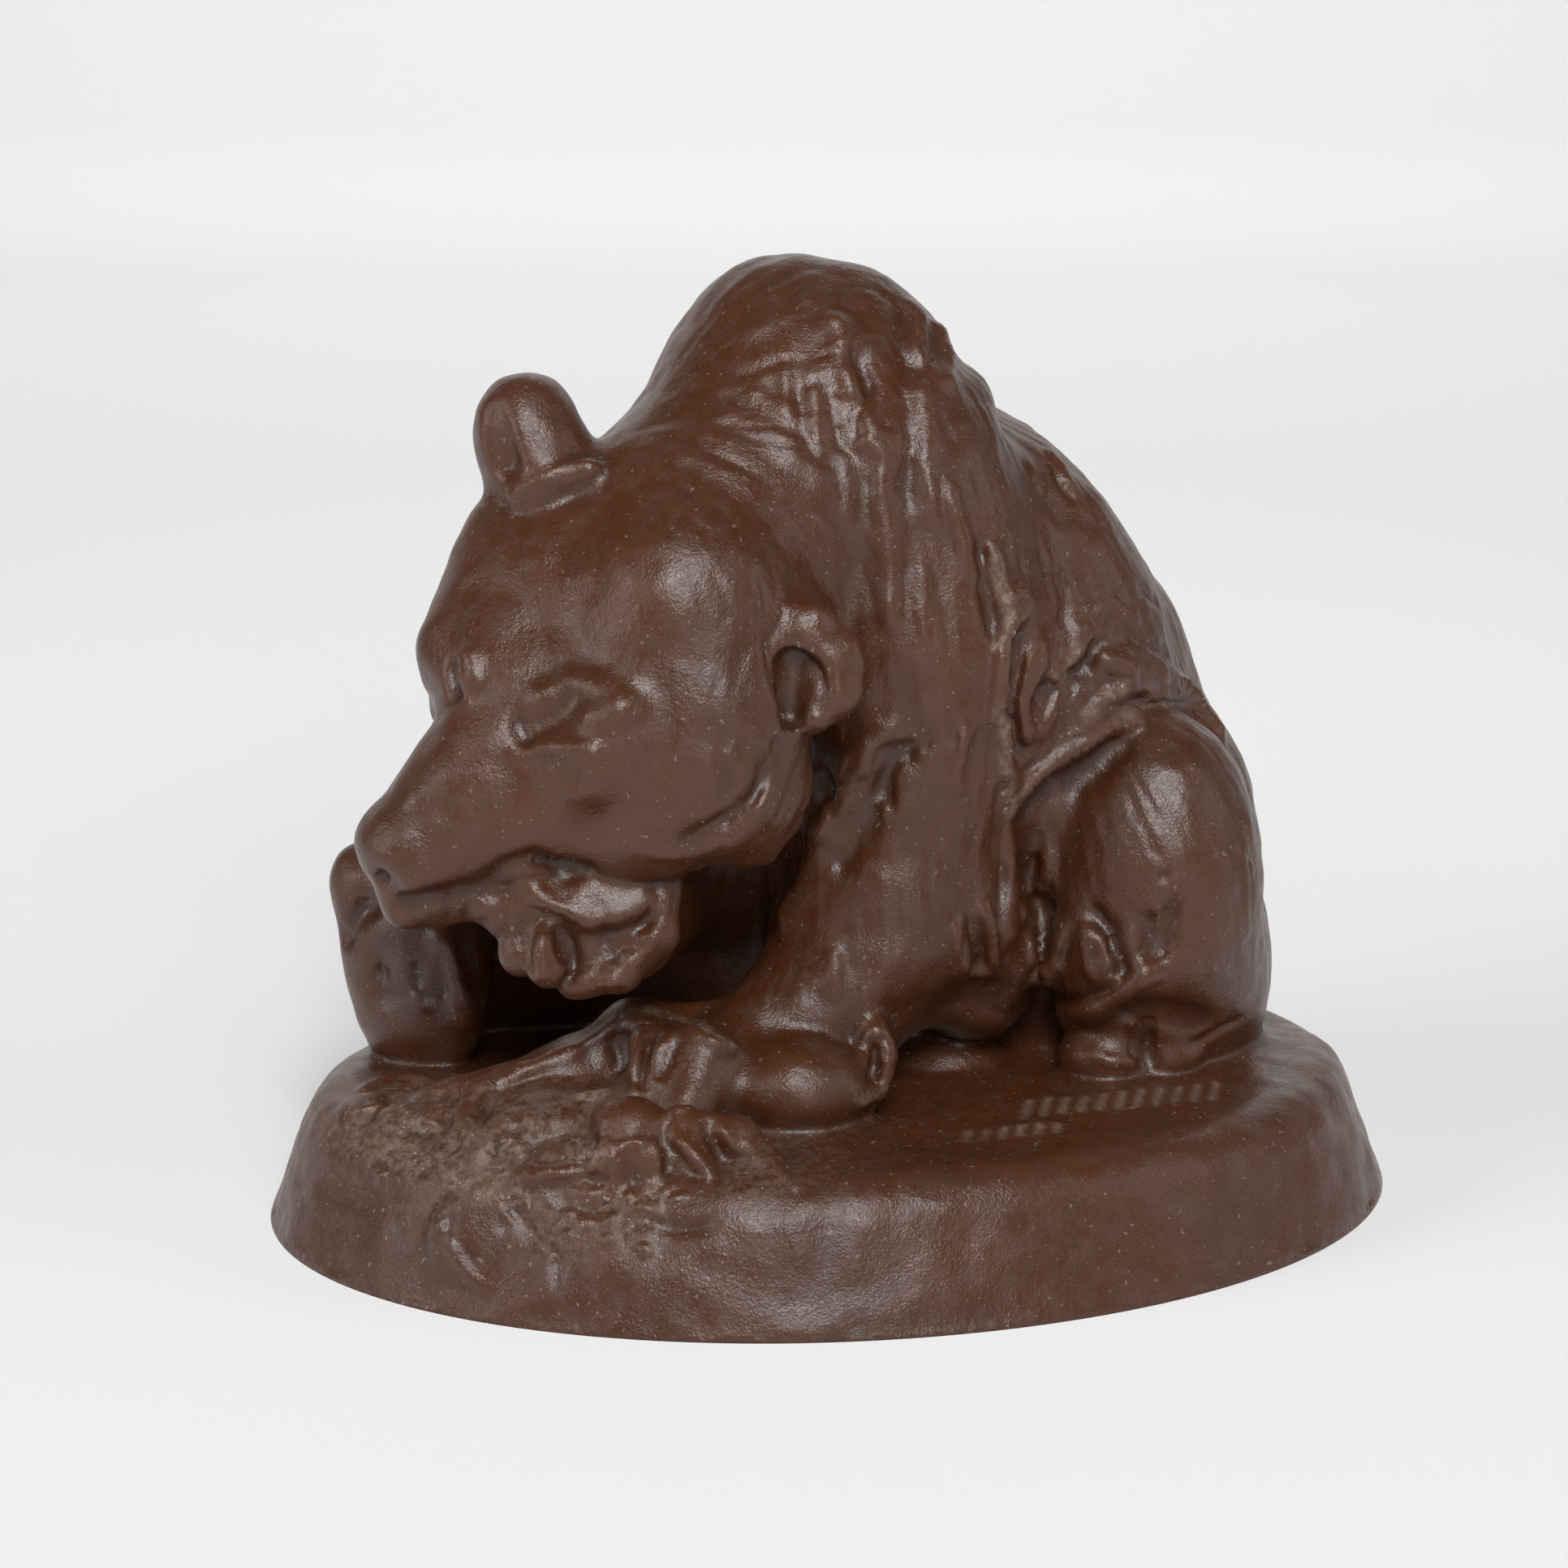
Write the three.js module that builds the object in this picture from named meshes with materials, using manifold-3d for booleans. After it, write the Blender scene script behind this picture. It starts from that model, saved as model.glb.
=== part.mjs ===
// A stoneware figurine of a bear that sits hunched over its forepaws and gnaws at one of them.
// The bear and its low oval base are one casting, so the whole work is one closed solid.
//
// The form is built up as a sculptor builds it, from rounded masses of clay that are smoothed into
// each other. Each mass is a distance formula; the surface where the blended distance is zero is
// then meshed. Units are millimetres and +Z is up.
import Module from "manifold-3d";
import * as THREE from "three";
import { mergeVertices } from "three/addons/utils/BufferGeometryUtils.js";

// Driving dimensions
const BASE_LENGTH = 144.6;        // the oval base at the table, along its long axis
const BASE_DEPTH = 108.4;         // the same, across
const BASE_HEIGHT = 17;
const BASE_INSET = 6.2;           // how far the rim is drawn in from the foot of the base
const BASE_RIM = 5;               // rounding of the rim
const TURN_ON_BASE = 13;          // degrees from the long axis of the base to the bear's own frame
const UNDER = 3;                  // how far the clay runs on below the table, before it is cut off
const LATTICE = 1.5;              // spacing of the samples that the surface is meshed from
const CARVED = 4;                 // no stroke of the carving is deeper or higher than this
const CLOSE = 0.01;               // what counts as on the surface
const TRIANGLES = 9600;           // what the finished solid is thinned to

// The view of the photograph, which the strokes of the carving are placed in
const PHOTO_PIXELS = 1932;        // its width and its height
const FOCAL_PIXELS = 4399;
const VIEW_DISTANCE = 450;
const VIEW_PITCH = 12.83;         // degrees down from level
const VIEW_TARGET = [-6.5, 0, 53];

const v = (x, y, z) => new THREE.Vector3(x, y, z);
const degrees = THREE.MathUtils.degToRad;

// A place in the figure with its own forward, left and up, in which its masses are laid.
function frame(origin, forward, left) {
  const f = forward.clone().normalize();
  const l = left.clone().addScaledVector(f, -left.dot(f)).normalize();
  const u = f.clone().cross(l);
  const at = (a, b, c) =>
    origin.clone().addScaledVector(f, a).addScaledVector(l, b).addScaledVector(u, c);
  return { f, l, u, at };
}

// The shapes of clay. Each is { centre, reach, distance }, where reach is the radius of a ball
// round the centre that holds the whole shape.

// An ellipsoid with half-axes `radii` along a frame's forward, left and up.
function ball(place, [a, b, c], radii) {
  const centre = place.at(a, b, c);
  const { f, l, u } = place;
  const [rf, rl, ru] = radii;
  const distance = (x, y, z) => {
    const dx = x - centre.x, dy = y - centre.y, dz = z - centre.z;
    const p = (dx * f.x + dy * f.y + dz * f.z) / rf;
    const q = (dx * l.x + dy * l.y + dz * l.z) / rl;
    const r = (dx * u.x + dy * u.y + dz * u.z) / ru;
    const k0 = Math.hypot(p, q, r);
    const k1 = Math.hypot(p / rf, q / rl, r / ru);
    return k1 < 1e-9 ? -Math.min(...radii) : (k0 * (k0 - 1)) / k1;
  };
  return { centre, reach: Math.max(...radii), distance };
}

// A limb: a cone with round ends, from one point of a frame to another.
function limb(place, from, to, startRadius, endRadius) {
  const a = place.at(...from), b = place.at(...to);
  const ba = b.clone().sub(a);
  const l2 = ba.lengthSq(), rr = startRadius - endRadius, a2 = l2 - rr * rr, il2 = 1 / l2;
  const distance = (x, y, z) => {
    const px = x - a.x, py = y - a.y, pz = z - a.z;
    const t = px * ba.x + py * ba.y + pz * ba.z;
    const s = t - l2;
    const qx = px * l2 - ba.x * t, qy = py * l2 - ba.y * t, qz = pz * l2 - ba.z * t;
    const x2 = qx * qx + qy * qy + qz * qz;
    const y2 = t * t * l2, z2 = s * s * l2;
    const k = Math.sign(rr) * rr * rr * x2;
    if (Math.sign(s) * a2 * z2 > k) return Math.sqrt(x2 + z2) * il2 - endRadius;
    if (Math.sign(t) * a2 * y2 < k) return Math.sqrt(x2 + y2) * il2 - startRadius;
    return (Math.sqrt(x2 * a2 * il2) + t * rr) * il2 - startRadius;
  };
  const centre = a.clone().add(b).multiplyScalar(0.5);
  return { centre, reach: Math.sqrt(l2) / 2 + Math.max(startRadius, endRadius), distance };
}

// The work as it is built up: masses laid on and hollows scooped out, in order.
const work = [];
const lay = (shape, blend) => work.push({ ...shape, blend, sign: 1 });
const scoop = (shape, blend) => work.push({ ...shape, blend, sign: -1 });

const figure = frame(v(0, 0, 0), v(1, 0, 0), v(0, 1, 0));

// The oval base: a disc with sloping sides and a rounded rim. It runs on below the table, where it
// is cut off flat at the end.
function ovalBase() {
  const turn = degrees(TURN_ON_BASE);
  const c = Math.cos(turn), s = Math.sin(turn);
  const distance = (x, y, z) => {
    const inset = (BASE_INSET * Math.min(z, BASE_HEIGHT)) / BASE_HEIGHT;
    const a = BASE_LENGTH / 2 - inset, b = BASE_DEPTH / 2 - inset;
    const p = x * c + y * s, q = y * c - x * s;
    const k0 = Math.hypot(p / a, q / b), k1 = Math.hypot(p / a / a, q / b / b);
    const side = k1 < 1e-9 ? -b : (k0 * (k0 - 1)) / k1;
    const top = z - BASE_HEIGHT;
    const h = Math.max(BASE_RIM - Math.abs(side - top), 0) / BASE_RIM;
    return Math.max(side, top, -UNDER - z) + (h * h * BASE_RIM) / 4;
  };
  return { centre: v(0, 0, 0), reach: BASE_LENGTH / 2 + BASE_HEIGHT, distance };
}
lay(ovalBase(), 0);

// Trunk: rump, loin, back, the hump over the shoulders, the barrel of chest and belly, the throat,
// the groin and the short tail.
lay(ball(figure, [36.5, 20, 30], [20.5, 23, 24]), 6);
lay(ball(figure, [25.5, 20, 58], [22, 21, 26.5]), 8);
lay(ball(figure, [35.5, 20, 46], [19.4, 18, 16.5]), 6);
lay(ball(figure, [23.5, 8, 67], [16.8, 14, 25.5]), 8);
lay(ball(figure, [14, 15, 80], [17.4, 18, 20]), 8);
lay(ball(figure, [-1, 8, 99.8], [16, 14, 17.9]), 6);
lay(ball(figure, [-8.5, 8, 100], [12, 13, 17.5]), 6);
lay(ball(figure, [8, 10, 55], [22, 20, 36]), 10);
lay(ball(figure, [-15, 7, 50], [13, 13, 16]), 8);
lay(ball(figure, [0, 14, 28], [20, 16, 16]), 8);
lay(ball(figure, [52, 31, 27], [5, 5, 7]), 4);
lay(limb(figure, [-4.5, 6, 91.5], [-17.5, -5, 80.8], 20.5, 19.8), 8);
lay(ball(figure, [15.4, 5, 101], [4, 6, 3.9]), 3);

// Head. Its forward points at the nose, and its up is the brow's side, turned to the viewer. On the
// skull lie a dome on each side and a crest along the muzzle.
const head = frame(v(-41.7, -27.5, 68.8), v(-0.64, -0.171, -0.751), v(0.678, -0.607, -0.414));
lay(ball(head, [-17, -0.5, -14], [21, 25, 15]), 3);
lay(ball(head, [-11, 14, -16.2], [19, 14, 11.5]), 5);
lay(ball(head, [-10, -12, -17], [17, 10, 11.5]), 5);
lay(limb(head, [-4, 1.5, -12], [16.5, 1.7, -8.5], 11.9, 8), 5);
lay(limb(head, [-12, 0, -20], [13, 0, -14.5], 10, 5.5), 3);
lay(ball(head, [3, 7, -11], [13, 8.5, 7.5]), 5);
lay(ball(head, [20, 1.2, -5.5], [4.8, 7, 5.5]), 2);
lay(limb(figure, [-38.9, -8, 85.5], [-43.4, -14.5, 72.7], 6, 7.3), 4);
lay(ball(figure, [-18.5, -20, 79.5], [13, 11, 12]), 4);
lay(limb(figure, [-35, -21, 67.2], [-50, -24.5, 52.8], 7.6, 4.5), 4);
lay(ball(figure, [-10, -22, 56], [7, 8, 8]), 5);
for (const side of [1, -1]) lay(ball(head, [-5, 3.7 + side * 9, -4.5], [7, 5, 4]), 4);

// Left ear, a thick leaf that curls forwards and down round a hollow beside the cheek.
lay(limb(figure, [-9, -21, 77.5], [-4, -21, 76], 4.5, 4), 4);
lay(limb(figure, [-7.5, -23.5, 77], [-3.8, -25, 77], 3, 3.2), 2);
lay(limb(figure, [-3.8, -25, 77], [-1, -25, 74], 3.2, 3.3), 1.5);
lay(limb(figure, [-1, -25, 74], [-0.9, -25.8, 70.4], 3.3, 3.2), 1.5);
lay(limb(figure, [-0.9, -25.8, 70.4], [-3.2, -27, 67.6], 3.2, 2.4), 1.5);
lay(ball(figure, [-3, -23, 72], [4, 3, 5.5]), 2);
scoop(limb(figure, [-5.4, -28.6, 73], [-5.8, -28.6, 68], 2.3, 1.9), 1);

// Right ear, seen from its side: a lobe with a shallow crease down its front, and a ridge of skin
// below it.
lay(ball(head, [-26, -18, -5], [5.5, 7, 6.5]), 3);
const rightEar = frame(v(-37.8, -6.5, 98.4), v(-0.92, -0.38, 0.1), v(-0.25, 0.1, 0.95));
lay(ball(rightEar, [0, 0, 0], [6.5, 7.2, 6.6]), 4);
scoop(limb(figure, [-41.5, -12.5, 101], [-39.8, -13.2, 95.5], 1.4, 1.6), 1.5);
lay(limb(figure, [-38, -13.5, 91.8], [-29.6, -14.2, 94.4], 1.7, 2), 1.2);

// Left foreleg, planted on the ground. The forearm spreads into the paw: its heel, the back of it
// and two digits that run forwards.
lay(ball(figure, [9, -2, 80], [15, 13, 24]), 6);
lay(limb(figure, [10, -3, 70], [6, -7, 38], 14.5, 12), 6);
lay(limb(figure, [6, -7, 38], [-1, -12, 27], 12, 9.5), 5);
lay(limb(figure, [10, -5, 38], [18, -3, 29], 11, 8), 5);
lay(limb(figure, [-3, -13, 27], [-14, -20, 21.5], 8, 6.5), 4);
lay(ball(figure, [-4.8, -25, 21], [9, 7.2, 6.2]), 2);
lay(ball(figure, [-17.5, -24, 21], [9, 8, 7.4]), 3);
lay(limb(figure, [-22, -25, 25], [-25.5, -32, 18.5], 3.6, 3), 1.5);
lay(limb(figure, [-16, -27, 25], [-18.8, -33.5, 18.5], 4, 3.2), 1.5);
lay(limb(figure, [4.2, -20.5, 27], [5.4, -21.5, 24], 1.8, 1.8), 1.5);
lay(limb(figure, [5.4, -21.5, 24], [3, -24.5, 18.5], 1.8, 1.6), 1);
lay(ball(figure, [13, 0, 17], [8, 6, 3]), 2);

// Claws of the left forepaw, hooked over the rim of the base: knuckles, and the flat nails below.
lay(ball(figure, [-24.8, -39.5, 20], [5.2, 4.6, 4.2]), 1);
lay(ball(figure, [-24.6, -43.2, 16.8], [4.5, 3.2, 5]), 1);
lay(limb(figure, [-18.5, -39.5, 19.8], [-12.3, -38.5, 18.8], 3.2, 2.9), 1);
lay(limb(figure, [-18.3, -41.5, 18.6], [-15.5, -44.5, 15.5], 3, 2.2), 1);
lay(limb(figure, [-12, -38.5, 18.6], [-6.5, -43.5, 15.5], 2.6, 1.6), 1.5);

// Right foreleg, held up to the mouth, with the cupped paw: its pad, the outer digit round the
// right, lumps down the left and a curled digit in the middle of the palm.
lay(ball(figure, [-8, 20, 78], [16, 13, 24]), 7);
lay(limb(figure, [-9, 22, 66], [-18, 14, 42], 13, 10), 6);
lay(limb(figure, [-18, 14, 41], [-26, -16, 39], 9, 6.5), 5);
lay(ball(figure, [-30, -25, 41], [10.8, 5, 8]), 3);
lay(ball(figure, [-29.5, -27, 45], [9, 3.4, 3]), 2);
lay(limb(figure, [-20.7, -25.5, 46.5], [-21.6, -27.5, 41], 2, 2.3), 1);
lay(limb(figure, [-21.6, -27.5, 41], [-26, -28.8, 36.6], 2.3, 2.4), 1);
lay(limb(figure, [-26, -28.8, 36.6], [-31.5, -28.8, 35.4], 2.4, 2.2), 1);
lay(ball(figure, [-39.3, -27, 43.6], [3, 3.2, 3.6]), 1);
lay(ball(figure, [-37.8, -28, 38.6], [2.8, 2.6, 2.8]), 1);
lay(limb(figure, [-35, -29.8, 42], [-34.6, -30.6, 37.6], 2.3, 2.5), 0.6);
scoop(ball(figure, [-28.8, -32, 40.6], [4, 1.8, 3]), 1.5);

// Left hind leg: thigh and knee, shank, and foot with its toes.
lay(ball(figure, [40.5, 2, 39.5], [14, 15, 22.5]), 3);
lay(ball(figure, [45, 8, 26], [11.5, 14, 12]), 5);
lay(limb(figure, [36, -3, 32], [37, -1, 22], 9, 7), 4);
lay(ball(figure, [34, -5, 19], [6, 5.5, 4.2]), 1.5);
lay(ball(figure, [41.5, -3.5, 19], [5, 5, 4]), 1);

// Right hind leg: thigh, shank, and the foot with its sole upright and the heel on the ground.
lay(ball(figure, [20, 34, 34], [22, 14, 18]), 8);
lay(limb(figure, [10, 34, 32], [-30, 22, 28], 15, 11), 8);
lay(limb(figure, [-30, 22, 28], [-50, 9, 28], 11, 9), 5);
const foot = frame(v(-53.6, 1, 30.5), v(-0.35, -0.93, 0.1), v(-0.22, 0, 1));
lay(ball(foot, [0, 0, 0], [6, 15.5, 10.2]), 2);
lay(ball(foot, [0, 9, 6], [4.5, 6, 4.2]), 2);
lay(ball(foot, [0, -8, 0.5], [5, 6.5, 8.2]), 2);

// Ground before the chest: a ridge of rock that runs down to the left, and rubble at the rim.
lay(limb(figure, [-14, -15, 25], [-25, -17, 25], 4, 4.2), 1.5);
lay(limb(figure, [-25, -17, 25], [-33, -19, 20], 4.2, 4.5), 2);
lay(limb(figure, [-33, -19, 20], [-49, -21, 16], 4.5, 4), 2);
lay(ball(figure, [-33, -27, 16], [13, 9, 5.5]), 3);
for (let i = 0; i < 7; i++) {
  const t = i / 6;
  const place = [-57 + 30 * t, -20 - 20 * t - 3 * (i % 2), 16.5];
  lay(ball(figure, place, [4.5, 3.5, 2.2 + 0.5 * (i % 3)]), 1.5);
}
lay(ball(figure, [-39, -42.8, 8], [9, 3, 7]), 2);

// Lip of the lower jaw, under the nose.
lay(limb(figure, [-51.5, -27, 44.5], [-44, -26.5, 45.5], 3, 3), 3);

// The strokes of the carving tool. Each runs over the masses through the places that show at some
// pixels of the photograph. It lifts the surface there by `height`, or presses it down where that
// is negative, and fades out over `width` to the sides.
const fold = (height, width, ...pixels) => ({ height, width, pixels });
const groove = (depth, width, ...pixels) => fold(-depth, width, ...pixels);

// Carving of the face: the valley between the domes of the skull, the crest of the muzzle, the eyes
// with their brows and lids, the wrinkles of the cheek and the parting of the mouth.
const FACE_CARVING = [
  groove(1.3, 5, [735, 610], [715, 690], [692, 790], [675, 860]),
  fold(0.5, 4, [640, 660], [610, 750], [596, 810]),
  fold(0.6, 4, [645, 870], [600, 915], [545, 960], [500, 1005]),
  groove(1.2, 1.2, [562, 820], [564, 852]),
  fold(1.1, 1.6, [577, 812], [580, 838]),
  fold(0.9, 1.8, [672, 856], [700, 836], [738, 842], [770, 868]),
  fold(0.8, 2, [728, 880], [748, 884]),
  fold(0.8, 1.4, [645, 925], [685, 924], [727, 930]),
  groove(0.9, 1.2, [640, 890], [648, 915]),
  groove(0.7, 1.2, [696, 948], [706, 956]),
  groove(0.7, 1.3, [850, 1035], [905, 1003], [938, 965], [958, 920]),
  fold(1, 3, [900, 1030], [930, 1000]),
  groove(1.5, 1.2, [500, 1113], [531, 1107], [594, 1093], [627, 1066], [657, 1058], [700, 1070]),
  groove(0.8, 1.6, [472, 1083], [480, 1088]),
];

// Carving of the shoulder: locks that run down from the hump.
const SHOULDER_CARVING = [
  fold(1.1, 1.5, [1025, 397], [1038, 428], [1045, 460], [1055, 487]),
  groove(1.1, 1.4, [1050, 440], [1064, 475], [1060, 505]),
  fold(0.8, 1.6, [1062, 510], [1070, 548]),
  fold(1.1, 2, [1090, 545], [1085, 600], [1092, 680], [1090, 750]),
  groove(0.6, 1.8, [1108, 370], [1116, 450], [1120, 540], [1116, 600]),
  fold(0.8, 2, [1135, 480], [1140, 560], [1150, 630]),
  fold(0.9, 1.4, [1120, 375], [1133, 400], [1132, 435]),
  fold(1, 1.6, [1156, 410], [1162, 437], [1164, 470]),
  fold(0.8, 1.6, [1170, 610], [1184, 655], [1200, 700]),
];

// The furrow of the flank, with ropes of skin beside it.
const FURROW_CARVING = [
  fold(1.3, 1.3, [1221, 680], [1228, 710], [1238, 745]),
  groove(1.2, 1.3, [1208, 680], [1222, 740], [1228, 780]),
  fold(1.6, 1.5, [1257, 735], [1252, 755], [1242, 778]),
  fold(1.4, 1.3, [1234, 795], [1233, 830], [1228, 880]),
  groove(2, 1.6, [1255, 790], [1257, 830], [1250, 870], [1254, 925]),
  fold(1.2, 1.4, [1280, 800], [1272, 835], [1258, 860], [1263, 905]),
  fold(1.5, 1.5, [1240, 890], [1238, 945]),
  fold(1.2, 1.5, [1246, 960], [1248, 1010], [1244, 1080], [1242, 1150]),
  groove(2, 2.2, [1266, 1020], [1265, 1060], [1262, 1100]),
];

// Folds of skin over the top of the thigh, and the recess under them.
const HIP_FOLDS = [
  fold(1.9, 1.5, [1255, 985], [1290, 948], [1325, 925], [1355, 905], [1390, 882]),
  groove(2, 2.2, [1262, 1003], [1298, 966], [1335, 945], [1372, 922]),
  fold(1.2, 1.5, [1340, 888], [1360, 862], [1382, 848]),
  fold(1.2, 1.5, [1398, 850], [1432, 856], [1458, 852]),
  groove(0.9, 1.2, [1392, 872], [1425, 866], [1460, 862]),
  fold(1.1, 1.6, [1352, 812], [1395, 822], [1435, 834], [1470, 862], [1500, 900]),
  fold(1, 1.8, [1300, 830], [1322, 805], [1332, 782]),
  groove(0.9, 1.4, [1352, 795], [1342, 822], [1310, 838], [1282, 852]),
  fold(0.7, 1.6, [1280, 900], [1300, 870], [1325, 850]),
];

// Tufts at the elbow and on the thigh, and the toes.
const TUFTS_AND_TOES = [
  fold(1.2, 1.5, [1184, 1145], [1186, 1190]),
  groove(1.2, 1.4, [1198, 1140], [1207, 1190]),
  fold(1.2, 1.5, [1210, 1120], [1218, 1165], [1216, 1200]),
  groove(1.4, 3, [1165, 1240], [1210, 1225], [1270, 1240]),
  fold(0.9, 1.3, [1290, 1050], [1281, 1090]),
  fold(1, 1.4, [1263, 1110], [1270, 1150], [1273, 1188]),
  groove(1, 1.3, [1287, 1120], [1285, 1160], [1276, 1192]),
  fold(1.1, 1.4, [1310, 1148], [1301, 1180], [1285, 1205]),
  groove(1.1, 1.4, [1350, 1128], [1366, 1148], [1371, 1178], [1382, 1192]),
  fold(0.9, 1.5, [1342, 1150], [1347, 1195]),
  groove(0.9, 1.3, [1446, 1112], [1437, 1150], [1420, 1176]),
  groove(0.8, 1.3, [1414, 1136], [1417, 1165]),
  fold(1.4, 1.6, [1410, 1200], [1388, 1222], [1360, 1240], [1312, 1252]),
  groove(1.8, 2, [1395, 1245], [1440, 1252], [1475, 1262]),
  groove(1.3, 1.2, [1413, 1272], [1414, 1304]),
];

// Long folds of the upper foreleg, and the folds at the wrist.
const FORELEG_CARVING = [
  fold(1.2, 2.2, [1062, 950], [1030, 995], [1005, 1040], [970, 1125]),
  groove(1.3, 2, [1095, 925], [1087, 965], [1072, 1010], [1040, 1060]),
  fold(0.9, 1.8, [1092, 905], [1066, 930], [1040, 960]),
  groove(1.5, 3, [1010, 975], [985, 1030], [965, 1080]),
  groove(0.7, 1.6, [1126, 900], [1120, 935]),
  fold(0.8, 2, [1196, 890], [1182, 930], [1175, 965]),
  fold(0.7, 1.6, [1028, 1178], [1026, 1212]),
  fold(0.6, 2.5, [1092, 1180], [1066, 1232]),
  fold(1, 1.3, [1082, 1272], [1066, 1290], [1066, 1312]),
  groove(0.9, 1.2, [1079, 1288], [1080, 1325]),
  fold(1.2, 1.3, [1092, 1288], [1091, 1322], [1083, 1342], [1062, 1352]),
];

// The paws and the ground before them.
const PAWS_AND_GROUND = [
  groove(2.6, 1.6, [770, 1290], [766, 1335]),
  fold(1.1, 1.7, [786, 1268], [780, 1340]),
  groove(0.8, 1.3, [805, 1270], [795, 1335]),
  fold(0.8, 1.8, [828, 1278], [812, 1340]),
  fold(1.2, 1.4, [650, 1095], [690, 1125], [735, 1135], [800, 1112]),
  groove(1, 1.4, [650, 1146], [668, 1134], [690, 1146], [702, 1180]),
  groove(1.2, 1.6, [455, 1118], [437, 1132], [427, 1152]),
  groove(0.7, 2.2, [470, 1185], [476, 1218]),
  fold(1.3, 1.6, [546, 1155], [553, 1190], [566, 1225], [571, 1252]),
  fold(1.1, 1.4, [700, 1300], [650, 1320], [605, 1345], [572, 1385]),
  fold(1, 1.5, [660, 1385], [625, 1378], [590, 1420]),
  fold(1.2, 1.8, [655, 1440], [700, 1437], [735, 1425]),
  groove(1.5, 2.2, [720, 1395], [722, 1412]),
  groove(1, 5, [630, 1480], [720, 1492], [800, 1500]),
];

// The strokes as they are laid, once all the masses are there.
const strokes = [];

// Distance from the blended surface, negative inside the clay.
function surface(x, y, z) {
  let d = Infinity;
  for (const { centre, reach, distance, blend, sign } of work) {
    const away = Math.hypot(x - centre.x, y - centre.y, z - centre.z) - reach;
    if (sign > 0 && away > d + blend) continue;
    if (sign < 0 && away > -d + blend) continue;
    const e = sign * distance(x, y, z);
    const h = blend > 0 ? Math.max(blend - Math.abs(d - e), 0) / blend : 0;
    d = sign > 0 ? Math.min(d, e) - (h * h * blend) / 4 : Math.max(d, e) + (h * h * blend) / 4;
  }
  return Math.abs(d) < CARVED ? d - carving(x, y, z, d) : d;
}

// How far the strokes of the carving lift the surface at a point that is `depth` away from it.
function carving(x, y, z, depth) {
  let lift = 0;
  for (const { parts, height, width, middle, reach } of strokes) {
    let away = 3 * width + CARVED;
    if (Math.hypot(x - middle.x, y - middle.y, z - middle.z) > reach + away) continue;
    for (const { centre, reach, distance } of parts) {
      const nearest = Math.hypot(x - centre.x, y - centre.y, z - centre.z) - reach;
      if (nearest < away) away = Math.min(away, distance(x, y, z));
    }
    const beside = Math.max(away * away - depth * depth, 0);
    lift += height * Math.exp(-beside / (width * width));
  }
  return lift;
}

// The point of the blended masses that shows at a pixel of the photograph.
function whereSeen([across, down]) {
  const pitch = degrees(VIEW_PITCH);
  const sight = v(0, Math.cos(pitch), -Math.sin(pitch));
  const overhead = v(0, Math.sin(pitch), Math.cos(pitch));
  const way = sight.clone();
  way.addScaledVector(v(1, 0, 0), (across - PHOTO_PIXELS / 2) / FOCAL_PIXELS);
  way.addScaledVector(overhead, (PHOTO_PIXELS / 2 - down) / FOCAL_PIXELS).normalize();
  const eye = v(...VIEW_TARGET).addScaledVector(sight, -VIEW_DISTANCE);
  const point = eye.addScaledVector(way, VIEW_DISTANCE - BASE_LENGTH);
  for (let gone = 0; gone < 2 * BASE_LENGTH; ) {
    const away = surface(point.x, point.y, point.z);
    if (away < CLOSE) return point;
    point.addScaledVector(way, away / 2);
    gone += away / 2;
  }
  throw new Error(`No clay shows at pixel ${across}, ${down}`);
}

// Lays a stroke over the masses as a chain of thin limbs.
function layStroke({ height, width, pixels }) {
  const points = pixels.map((pixel) => whereSeen(pixel).toArray());
  const thread = (end, i) => limb(figure, points[i], end, CLOSE, CLOSE);
  const parts = points.slice(1).map(thread);
  const middle = parts[parts.length >> 1].centre;
  const ends = parts.map((part) => part.centre.distanceTo(middle) + part.reach);
  return { parts, height, width, middle, reach: Math.max(...ends) };
}

// Which of the 256 ways a cell's eight corners can lie in or out of the clay give one sheet of
// surface through the cell: those where both the inner and the outer corners hang together.
const plainCell = Array.from({ length: 256 }, (_, mask) => {
  const groups = (inner) => {
    const left = new Set([0, 1, 2, 3, 4, 5, 6, 7].filter((c) => ((mask >> c) & 1) === inner));
    let count = 0;
    while (left.size) {
      const reached = [left.values().next().value];
      left.delete(reached[0]);
      for (const corner of reached)
        for (const next of [corner ^ 1, corner ^ 2, corner ^ 4])
          if (left.delete(next)) reached.push(next);
      count++;
    }
    return count;
  };
  return groups(1) <= 1 && groups(0) <= 1;
});

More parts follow.
